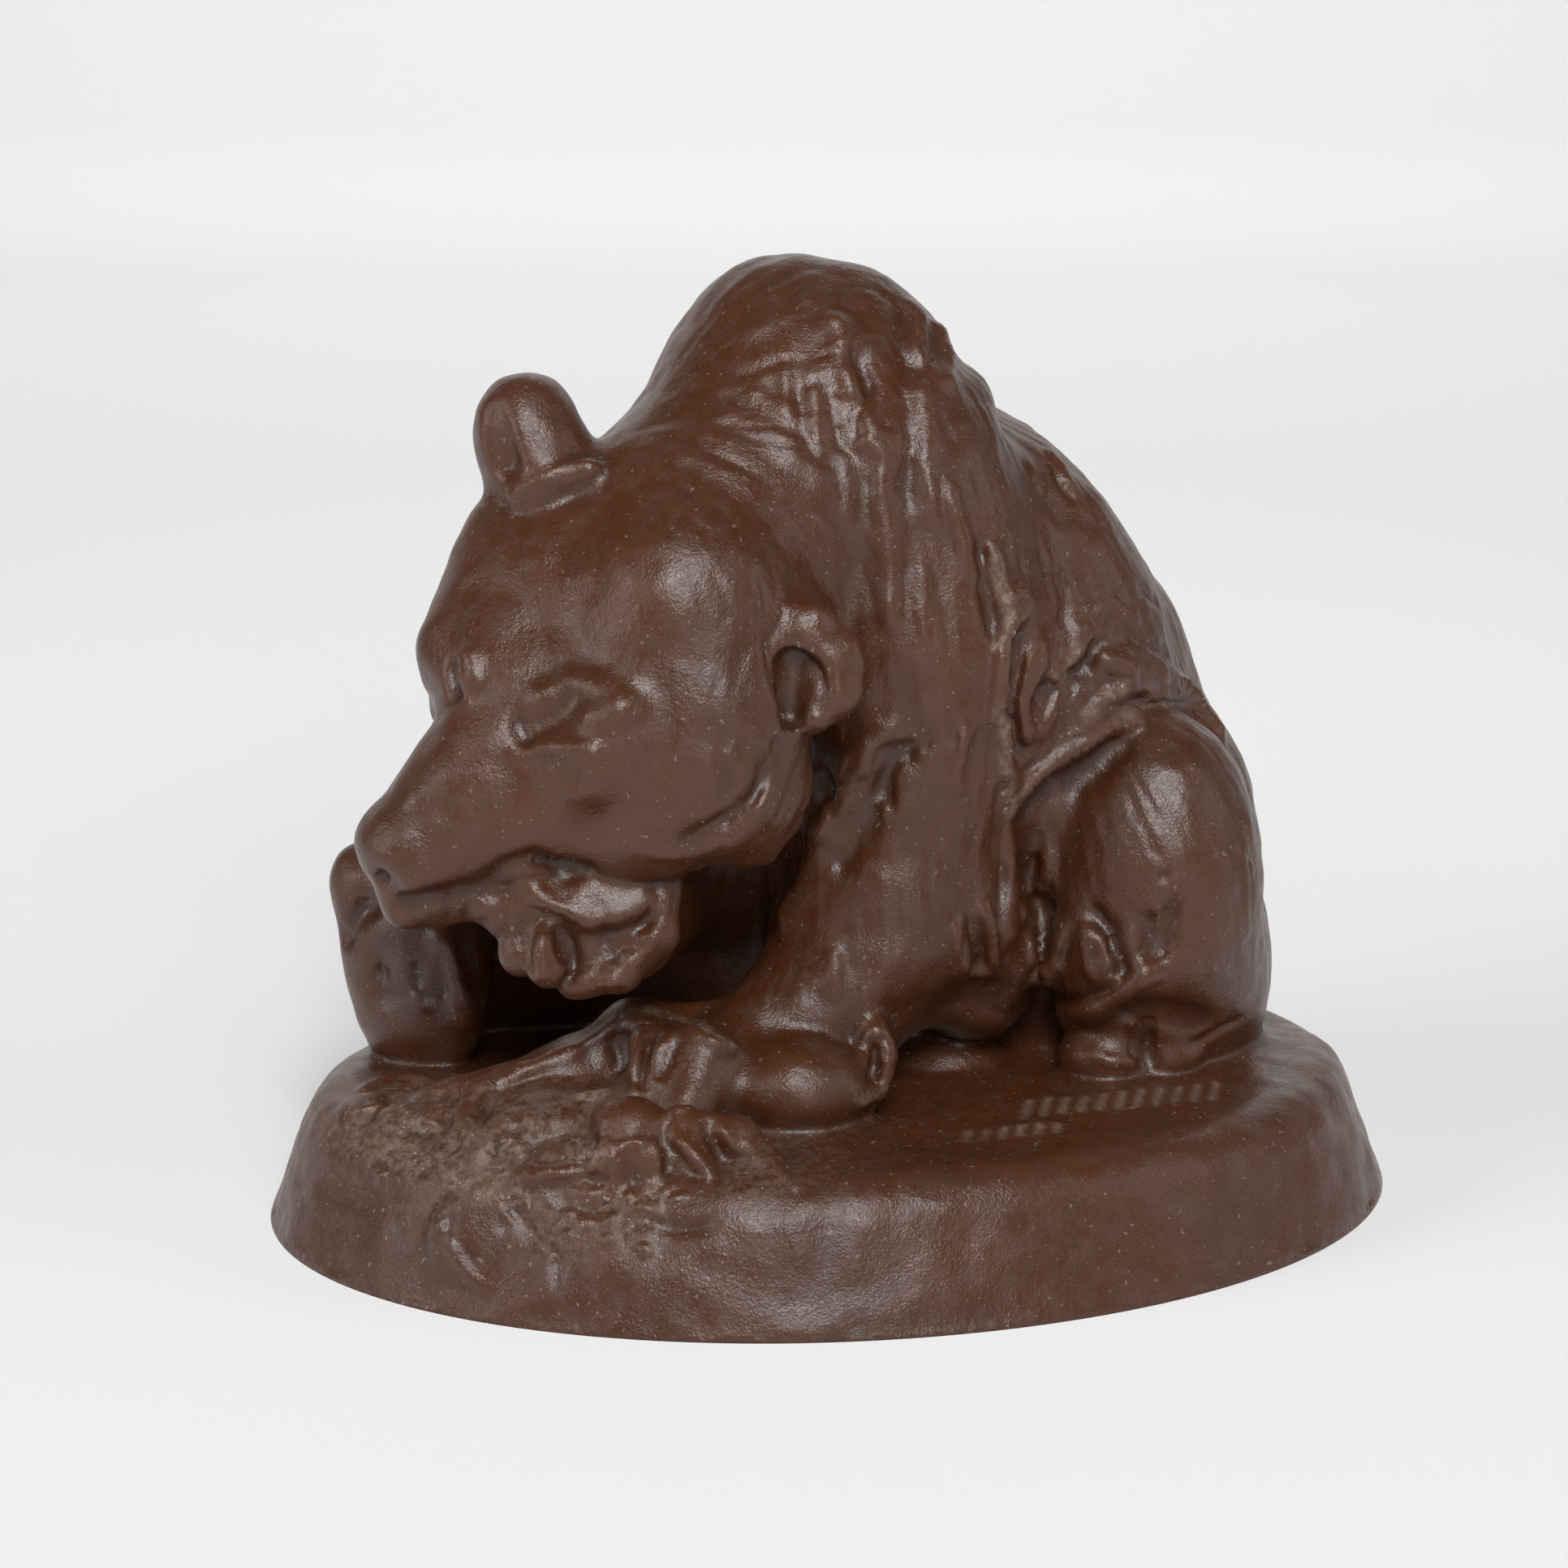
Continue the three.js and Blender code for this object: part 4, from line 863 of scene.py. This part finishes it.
PAW_CUTS = (
    ((652, 1142), (670, 1129), (700, 1133), (714, 1144)),
    ((688, 1146), (702, 1166), (704, 1192), (692, 1212)),
    ((656, 1150), (650, 1176), (656, 1204)),
    ((740, 1134), (748, 1152), (742, 1170)),
    ((806, 1084), (808, 1110), (790, 1148)),
    ((752, 1176), (766, 1190)),
    ((612, 1122), (626, 1134), (622, 1156)),
    ((450, 1106), (446, 1124), (436, 1142)),
    ((466, 1188), (473, 1208)),
    ((508, 1184), (514, 1202), (510, 1218)),
    ((546, 1172), (543, 1196), (548, 1230)),
)
draw(PAW_RIDGES, height=0.6, width=0.8)
draw(PAW_CUTS, height=-0.7, width=0.85)

# Planted paw: the backs of its digits, and the claws with their flat nails.
CLAW_RIDGES = (
    ((792, 1270), (786, 1300), (779, 1342)),
    ((816, 1280), (804, 1310), (798, 1340)),
    ((796, 1263), (826, 1262), (856, 1272), (884, 1290), (908, 1298)),
    ((872, 1279), (898, 1290), (918, 1296)),
    ((762, 1254), (740, 1276), (702, 1298)),
    ((752, 1402), (755, 1434), (757, 1462)),
    ((801, 1402), (809, 1430), (811, 1462)),
    ((764, 1410), (782, 1402), (796, 1412)),
    ((812, 1386), (824, 1372), (852, 1366)),
    ((832, 1400), (860, 1430), (877, 1450)),
    ((882, 1386), (897, 1401), (909, 1422)),
    ((918, 1402), (932, 1426), (960, 1446), (988, 1466)),
    ((705, 1350), (740, 1347), (775, 1351), (812, 1364)),
)
CLAW_CUTS = (
    ((770, 1284), (767, 1310), (765, 1342)),
    ((803, 1274), (796, 1306), (790, 1342)),
    ((836, 1280), (824, 1304), (816, 1332)),
    ((742, 1396), (768, 1400), (804, 1396)),
    ((776, 1408), (779, 1438), (783, 1464)),
    ((815, 1402), (836, 1426), (850, 1446)),
    ((846, 1444), (868, 1452)),
    ((872, 1376), (876, 1400), (890, 1424)),
    ((716, 1394), (722, 1404), (720, 1416)),
)
draw(CLAW_RIDGES, height=0.65, width=0.7)
draw(CLAW_CUTS, height=-0.8, width=0.8)

# Ground: broken edges of rock before the chest, and a bruised place in the side of the base.
GROUND_RIDGES = (
    ((440, 1346), (470, 1331), (500, 1326)),
    ((500, 1326), (530, 1335), (556, 1346)),
    ((556, 1345), (576, 1339), (612, 1325), (652, 1308)),
    ((560, 1354), (602, 1339), (642, 1322), (684, 1304)),
    ((604, 1336), (582, 1352), (566, 1376), (578, 1392)),
    ((640, 1376), (660, 1370), (668, 1386), (650, 1402)),
    ((576, 1442), (600, 1416), (632, 1405), (648, 1422)),
    ((650, 1456), (682, 1446), (732, 1446)),
    ((430, 1376), (470, 1362), (512, 1366)),
    ((482, 1392), (520, 1380), (552, 1396)),
    ((676, 1360), (690, 1372), (684, 1394)),
    ((540, 1500), (554, 1530), (578, 1568), (604, 1592)),
    ((656, 1516), (674, 1530), (682, 1556)),
    ((770, 1494), (790, 1488), (812, 1494)),
    ((700, 1466), (724, 1472), (742, 1466)),
)
GROUND_CUTS = (
    ((470, 1338), (478, 1352), (474, 1366)),
    ((504, 1338), (530, 1346), (552, 1356)),
    ((628, 1352), (600, 1366), (590, 1392)),
    ((642, 1430), (668, 1424), (704, 1430)),
    ((540, 1404), (560, 1410), (584, 1404)),
    ((625, 1478), (658, 1524), (684, 1548), (688, 1592)),
    ((545, 1488), (552, 1510), (545, 1532)),
    ((690, 1480), (730, 1492), (760, 1484)),
    ((800, 1506), (840, 1514), (880, 1508)),
    ((432, 1388), (466, 1378), (500, 1384)),
)
draw(GROUND_RIDGES, height=0.7, width=0.8)
draw(GROUND_CUTS, height=-0.7, width=0.9)

# Crumbs of clay and small pits, scattered over the broken ground and the bruised side.
RUBBLE_CORNERS = (432, 1346), (724, 1446)
BRUISE_CORNERS = (612, 1456), (836, 1540)
chance = np.random.default_rng(7)
for (left, top), (right, bottom), count in ((*RUBBLE_CORNERS, 90), (*BRUISE_CORNERS, 40)):
    for _ in range(count):
        u, v = chance.uniform(left, right), chance.uniform(top, bottom)
        reach, turn = chance.uniform(4, 14), chance.uniform(0, math.pi)
        tip = u + reach * math.cos(turn), v + reach * math.sin(turn)
        height = chance.choice((-0.45, 0.45, 0.7)) * chance.uniform(0.5, 1)
        draw([((u, v), tip)], height=height, width=chance.uniform(0.6, 1.1))

# The signature on the base is left as two rows of shallow strokes that form no letters.
SIGNATURE_ROWS = ((1262, 1376), (1516, 1352), 11, 20), ((1190, 1404), (1322, 1394), 6, 11)
signature = []
for start, end, count, tall in SIGNATURE_ROWS:
    for i in range(count):
        u = start[0] + (end[0] - start[0]) * i / count
        v = start[1] + (end[1] - start[1]) * i / count
        signature.append(((u, v), (u + tall / 3, v - tall)))
draw(signature, height=-0.3, width=0.5)


# Over all of it lies the play of the fingers: soft lumps, and fur combed from the nape over the
# neck and from the hump down the body.
NAPE = np.array((-30, -8, 97))
HUMP = np.array((0, 10, 128))
LUMP_SIZE = 7
FUR_SIZE = 1.3
FUR_LENGTH = 8
FUR_STEPS = 15


def grain_at(points, size):
    return np.array([noise.noise(point) for point in (points / size).tolist()])


from_nape = skin - NAPE
from_hump = skin - HUMP
on_neck = np.clip((12 - skin[:, 0]) / 14, 0, 1) * np.clip((skin[:, 2] - 72) / 12, 0, 1)
comb = on_neck[:, None] * from_nape + (1 - on_neck[:, None]) * from_hump
comb -= (comb * outward).sum(axis=1, keepdims=True) * outward
comb /= np.maximum(np.linalg.norm(comb, axis=1, keepdims=True), 1e-6)
along_comb = np.linspace(-0.5, 0.5, FUR_STEPS)
fur = np.mean([grain_at(skin + t * FUR_LENGTH * comb, FUR_SIZE) for t in along_comb], axis=0)
furry = np.clip((skin[:, 2] - 24) / 8, 0, 1) * np.clip((skin[:, 0] + 30) / 20, 0.15, 1)
lumps_of_hand = grain_at(skin, LUMP_SIZE) + 0.5 * grain_at(skin, LUMP_SIZE / 2.3)
lifted += 0.5 * furry * fur + 0.36 * lumps_of_hand
on_table = skin[:, 2] < 0.8
lifted[on_table] = 0
skin = skin + lifted[:, None] * outward
set_points(bear.data, skin)


# Dust has settled in the hollows, on the ground and along the furrows, and the low left side of the
# base is paled with painted light carried in the same amount. How much lies at each point is kept
# on the
# skin, for the finish: what lies deeper than the skin around it holds more. The same depths give
# the painted shade of the hollows, and the lighter colour of what stands out, for wear and a
# painted sheen.
HOLLOW_ROUNDS = 14
DUST_LINES = (
    ((1244, 1000), (1262, 972), (1292, 945), (1324, 925), (1358, 905), (1390, 882)),
    ((1396, 876), (1425, 872), (1450, 862)),
    ((1342, 886), (1362, 862), (1386, 848)),
    ((1294, 832), (1310, 832), (1330, 800)),
    ((1226, 676), (1234, 720), (1246, 780), (1236, 850), (1228, 900)),
    ((1240, 890), (1240, 945), (1246, 1000)),
    ((700, 1420), (726, 1428), (740, 1420)),
    ((590, 1430), (620, 1422), (645, 1428)),
    ((660, 1380), (668, 1400), (690, 1390)),
    ((716, 1352), (760, 1349), (800, 1354), (820, 1364)),
    ((730, 1270), (790, 1245), (850, 1258), (900, 1290)),
    ((1060, 1356), (1100, 1345), (1150, 1340)),
    ((560, 1450), (590, 1462), (620, 1452)),
)
edges = np.empty(2 * len(bear.data.edges), int)
bear.data.edges.foreach_get("vertices", edges)
ends = np.concatenate([edges.reshape(-1, 2), edges.reshape(-1, 2)[:, ::-1]])
neighbours = np.bincount(ends[:, 0], minlength=len(skin))


def spread(values):
    """Evens out values over the skin, each with its neighbours'."""
    total = np.bincount(ends[:, 0], values[ends[:, 1]], minlength=len(skin))
    return 0.5 * values + 0.5 * total / np.maximum(neighbours, 1)


smoothed = skin.copy()
for _ in range(HOLLOW_ROUNDS):
    smoothed = np.stack([spread(smoothed[:, i]) for i in range(3)], axis=1)
depth_below = ((smoothed - skin) * outward).sum(axis=1)
dust_and_painted_light_amount = 0.1 * np.clip(depth_below / 0.35, 0, 1)
on_ground = np.clip((24 - skin[:, 2]) / 6, 0, 1) * np.clip(outward[:, 2] * 2 - 0.6, 0, 1)
at_front = np.clip((6 - skin[:, 0]) / 30, 0, 1) * np.clip((-6 - skin[:, 1]) / 12, 0, 1)
# Painted light: a pale wash low on the left side of the base, where the left diffuser falls, added
# to the dust.
painted_light_on_left_side = np.clip((17 - skin[:, 2]) / 4, 0, 1) * np.clip((-25 - skin[:, 0]) / 25, 0, 1)
dust_and_painted_light_amount += on_ground * (0.14 + 0.6 * at_front) + 0.2 * painted_light_on_left_side
for line in DUST_LINES:
    found = near_line(line, 1.6)
    if found:
        near, off, along = found
        dust_and_painted_light_amount[near] += 1.1 * np.exp(-((off / 0.9) ** 2))
scratched = np.zeros(len(skin))
for line in signature:
    found = near_line(line, 0.8)
    if found:
        near, off, along = found
        scratched[near] = np.maximum(scratched[near], np.exp(-((off / 0.5) ** 2)))
dust_and_painted_light_amount = np.clip(spread(dust_and_painted_light_amount), 0, 1.5)
# What stands out is painted lighter: wear, and a painted sheen.
standing_out = np.clip(spread(-depth_below) / 0.3, 0, 1)
# Painted shade: how far each point lies in a hollow, which darkens the colour there.
painted_hollow_shade = np.clip(spread(depth_below) / 0.4, 0, 1)
kept = {"dust_and_painted_light": dust_and_painted_light_amount, "worn_and_sheen": standing_out, "painted_hollow_shade": painted_hollow_shade, "scratched": scratched}
for name, values in kept.items():
    attribute = bear.data.attributes.new(name, "FLOAT", "POINT")
    attribute.data.foreach_set("value", values)


# The finish. Fired brown stoneware has no glaze: its skin is fine and close, with a satin shine,
# and dull where dust has settled in the hollows. What stands out is rubbed, and is painted lighter
# for that wear and for a painted sheen. The hollows are darkened with painted shade, and the left
# side of the base is paled with painted light.
class Shade:
    """A value or colour that varies over the clay: a node's output, with sums that add nodes."""

    def __init__(self, tree, socket=None):
        self.tree = tree
        self.socket = socket

    def node(self, kind, settings, inputs, output=0):
        node = self.tree.nodes.new(kind)
        for name, value in settings.items():
            setattr(node, name, value)
        for name, value in inputs.items():
            if isinstance(value, Shade):
                self.tree.links.new(value.socket, node.inputs[name])
            else:
                node.inputs[name].default_value = value
        return Shade(self.tree, node.outputs[output])

    def sum(self, operation, a, b):
        return self.node("ShaderNodeMath", {"operation": operation}, {0: a, 1: b})

    def __add__(self, other):
        return self.sum("ADD", self, other)

    def __sub__(self, other):
        return self.sum("SUBTRACT", self, other)

    def __rsub__(self, other):
        return self.sum("SUBTRACT", other, self)

    def __mul__(self, other):
        return self.sum("MULTIPLY", self, other)

    __radd__ = __add__
    __rmul__ = __mul__

    def between(self, low, high):
        """0 up to low, 1 from high on, and evenly between them."""
        inputs = {"Value": self, "From Min": low, "From Max": high}
        return self.node("ShaderNodeMapRange", {"clamp": True}, inputs)

    def mix(self, a, b):
        """Colour a where this is 0 and b where it is 1."""
        return self.node("ShaderNodeMix", {"data_type": "RGBA"}, {0: self, 6: a, 7: b}, output=2)


BODY = (0.058, 0.0180, 0.0058, 1)
BODY_WARM = (0.080, 0.0228, 0.0058, 1)
BODY_PALE = (0.082, 0.040, 0.024, 1)
# A lighter colour for what stands out: wear, and a painted sheen.
WORN_AND_SHEEN = (0.092, 0.0315, 0.0120, 1)
# Painted shade: a darker copy of the body colour, for the hollows.
PAINTED_HOLLOW_SHADE = (0.032, 0.0098, 0.0034, 1)
# Pale dust, which is also the colour of the painted light on the left side of the base.
DUST_AND_PAINTED_LIGHT = (0.29, 0.215, 0.165, 1)
SPECK = (0.55, 0.47, 0.38, 1)

material = bpy.data.materials.new("stoneware")
material.use_nodes = True
shader = material.node_tree.nodes["Principled BSDF"]
start = Shade(material.node_tree)
place = start.node("ShaderNodeTexCoord", {}, {}, output="Object")


def noise_on_clay(scale, detail=2, roughness=0.5):
    inputs = {"Vector": place, "Scale": scale, "Detail": detail, "Roughness": roughness}
    return start.node("ShaderNodeTexNoise", {}, inputs)


def kept_on_skin(name):
    return start.node("ShaderNodeAttribute", {"attribute_name": name}, {}, output="Fac")


clouds = noise_on_clay(45, 3).between(0.35, 0.68)
mottle = noise_on_clay(420, 3, 0.6).between(0.4, 0.7)
grain = noise_on_clay(3200, 2, 0.6)
pitting = noise_on_clay(1100, 3, 0.6)
gathered = noise_on_clay(110).between(0.36, 0.52)
patches = noise_on_clay(900, 6, 0.8).between(0.42, 0.64) * gathered
# The dust amount also carries the painted light on the left side of the base.
dust_and_painted_light = kept_on_skin("dust_and_painted_light") * (0.18 + patches * 0.82)
specks = noise_on_clay(1500, 1).between(0.7, 0.76) * (0.2 + dust_and_painted_light * 0.8)
colour = clouds.mix(BODY, BODY_WARM)
colour = (mottle * 0.3).mix(colour, BODY_PALE)
# Wear and painted sheen on what stands out.
colour = (kept_on_skin("worn_and_sheen") * 0.35).mix(colour, WORN_AND_SHEEN)
# Painted shade in the hollows.
colour = (kept_on_skin("painted_hollow_shade") * 0.5).mix(colour, PAINTED_HOLLOW_SHADE)
# Dust, and painted light on the left side of the base.
colour = dust_and_painted_light.between(0.08, 1.25).mix(colour, DUST_AND_PAINTED_LIGHT)
colour = (kept_on_skin("scratched") * 0.55).mix(colour, DUST_AND_PAINTED_LIGHT)
colour = specks.mix(colour, SPECK)
links = material.node_tree.links
links.new(colour.socket, shader.inputs["Base Color"])
links.new((0.3 + mottle * 0.14 + dust_and_painted_light * 0.4).socket, shader.inputs["Roughness"])
shader.inputs["Specular IOR Level"].default_value = 0.6
bump_inputs = {"Height": grain + pitting * 1.2, "Strength": 0.38, "Distance": 0.0002}
bump = start.node("ShaderNodeBump", {}, bump_inputs)
links.new(bump.socket, shader.inputs["Normal"])

# Cut off flat at the table, smooth-shaded, and turned to stand in the frame of the base.
SKIN_TRIANGLES = 195_000
bpy.ops.object.mode_set(mode="EDIT")
bpy.ops.mesh.select_all(action="SELECT")
bpy.ops.mesh.bisect(plane_co=(0, 0, 0), plane_no=(0, 0, 1), use_fill=True, clear_inner=True)
bpy.ops.mesh.select_all(action="SELECT")
bpy.ops.mesh.quads_convert_to_tris()
bpy.ops.object.mode_set(mode="OBJECT")
apply_modifier(bear, "DECIMATE", ratio=min(1, SKIN_TRIANGLES / len(bear.data.polygons)))
bear.data.transform(to_table)
low, high = (np.array(corner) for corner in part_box("bear_figurine"))
set_points(bear.data, np.clip(get_points(bear.data), low, high))
bpy.ops.object.shade_smooth()
bear.data.materials.clear()
bear.data.materials.append(material)
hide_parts("bear_figurine")
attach(bear, "root")


# The table: a pale sheet that sweeps up far behind, with a faint shine near the figure. The studio
# is plain: one diffuser over the figure and a little in front of it, weaker ones at the front and
# the sides, and one that lights the sweep.
FLOOR = 2.6
SWEEP_RISE = 2.5
SWEEP_RADIUS = 1.2
bpy.ops.object.select_all(action="DESELECT")
bpy.ops.mesh.primitive_plane_add(size=2 * FLOOR)
floor = bpy.context.object
floor.name = floor.data.name = "floor"
bpy.ops.object.mode_set(mode="EDIT")
bpy.ops.mesh.select_all(action="DESELECT")
edit = bmesh.from_edit_mesh(floor.data)
for vertex in edit.verts:
    vertex.select = vertex.co.y > 0
edit.select_flush(True)
bmesh.update_edit_mesh(floor.data)
bpy.ops.mesh.extrude_region_move(TRANSFORM_OT_translate={"value": (0, 0, SWEEP_RISE)})
bpy.ops.object.mode_set(mode="OBJECT")
edit = bmesh.new()
edit.from_mesh(floor.data)
corner = [e for e in edit.edges if all(v.co.y > 0 and v.co.z < 1e-6 for v in e.verts)]
bmesh.ops.bevel(edit, geom=corner, offset=SWEEP_RADIUS, segments=32, affect="EDGES")
bmesh.ops.rotate(edit, verts=edit.verts, matrix=Matrix.Rotation(-TURN_ON_BASE, 3, "Z"))
edit.to_mesh(floor.data)
edit.free()
bpy.ops.object.shade_smooth()
paper = bpy.data.materials.new("pale floor")
paper.use_nodes = True
paper_shader = paper.node_tree.nodes["Principled BSDF"]
paper_shader.inputs["Base Color"].default_value = (0.88, 0.88, 0.885, 1)
paper_shader.inputs["Roughness"].default_value = 0.9
paper_shader.inputs["Specular IOR Level"].default_value = 0
paper_shader.inputs["Coat Roughness"].default_value = 0.2
sheet = Shade(paper.node_tree)
on_sheet = sheet.node("ShaderNodeTexCoord", {}, {}, output="Object")
length = sheet.node("ShaderNodeVectorMath", {"operation": "LENGTH"}, {0: on_sheet}, output="Value")
shine = (1 - length.between(0.2, 0.7)) * 0.5
paper.node_tree.links.new(shine.socket, paper_shader.inputs["Coat Weight"])
floor.data.materials.append(paper)


def diffuser(way, distance, size, watts, aim=(0, 0, 0.05)):
    """A square diffuser that faces its aim from a direction of the bear's own frame."""
    turn = Matrix.Rotation(-TURN_ON_BASE, 3, "Z")
    way = turn @ Vector(way).normalized()
    bpy.ops.object.light_add(type="AREA", location=turn @ Vector(aim) + distance * way)
    light = bpy.context.object
    light.rotation_euler = (-way).to_track_quat("-Z", "Y").to_euler()
    light.data.shape = "SQUARE"
    light.data.size = size
    light.data.energy = watts


diffuser((0.04, -0.72, 0.69), 1.9, 0.75, 26)
diffuser((0.25, -0.9, 0.3), 1.6, 0.6, 2.5)
diffuser((-0.86, -0.39, 0.36), 1.4, 0.7, 5)
diffuser((0.9, -0.2, 0.4), 1.4, 0.7, 2.5)
diffuser((0, -0.9, 0.44), 2, 1.4, 26, aim=(0, 2.6, 1))

world = bpy.data.worlds.new("studio")
bpy.context.scene.world = world
world.use_nodes = True
world.node_tree.nodes["Background"].inputs["Color"].default_value = (1, 1, 1, 1)
world.node_tree.nodes["Background"].inputs["Strength"].default_value = 0.06
bpy.context.scene.view_settings.view_transform = "Standard"
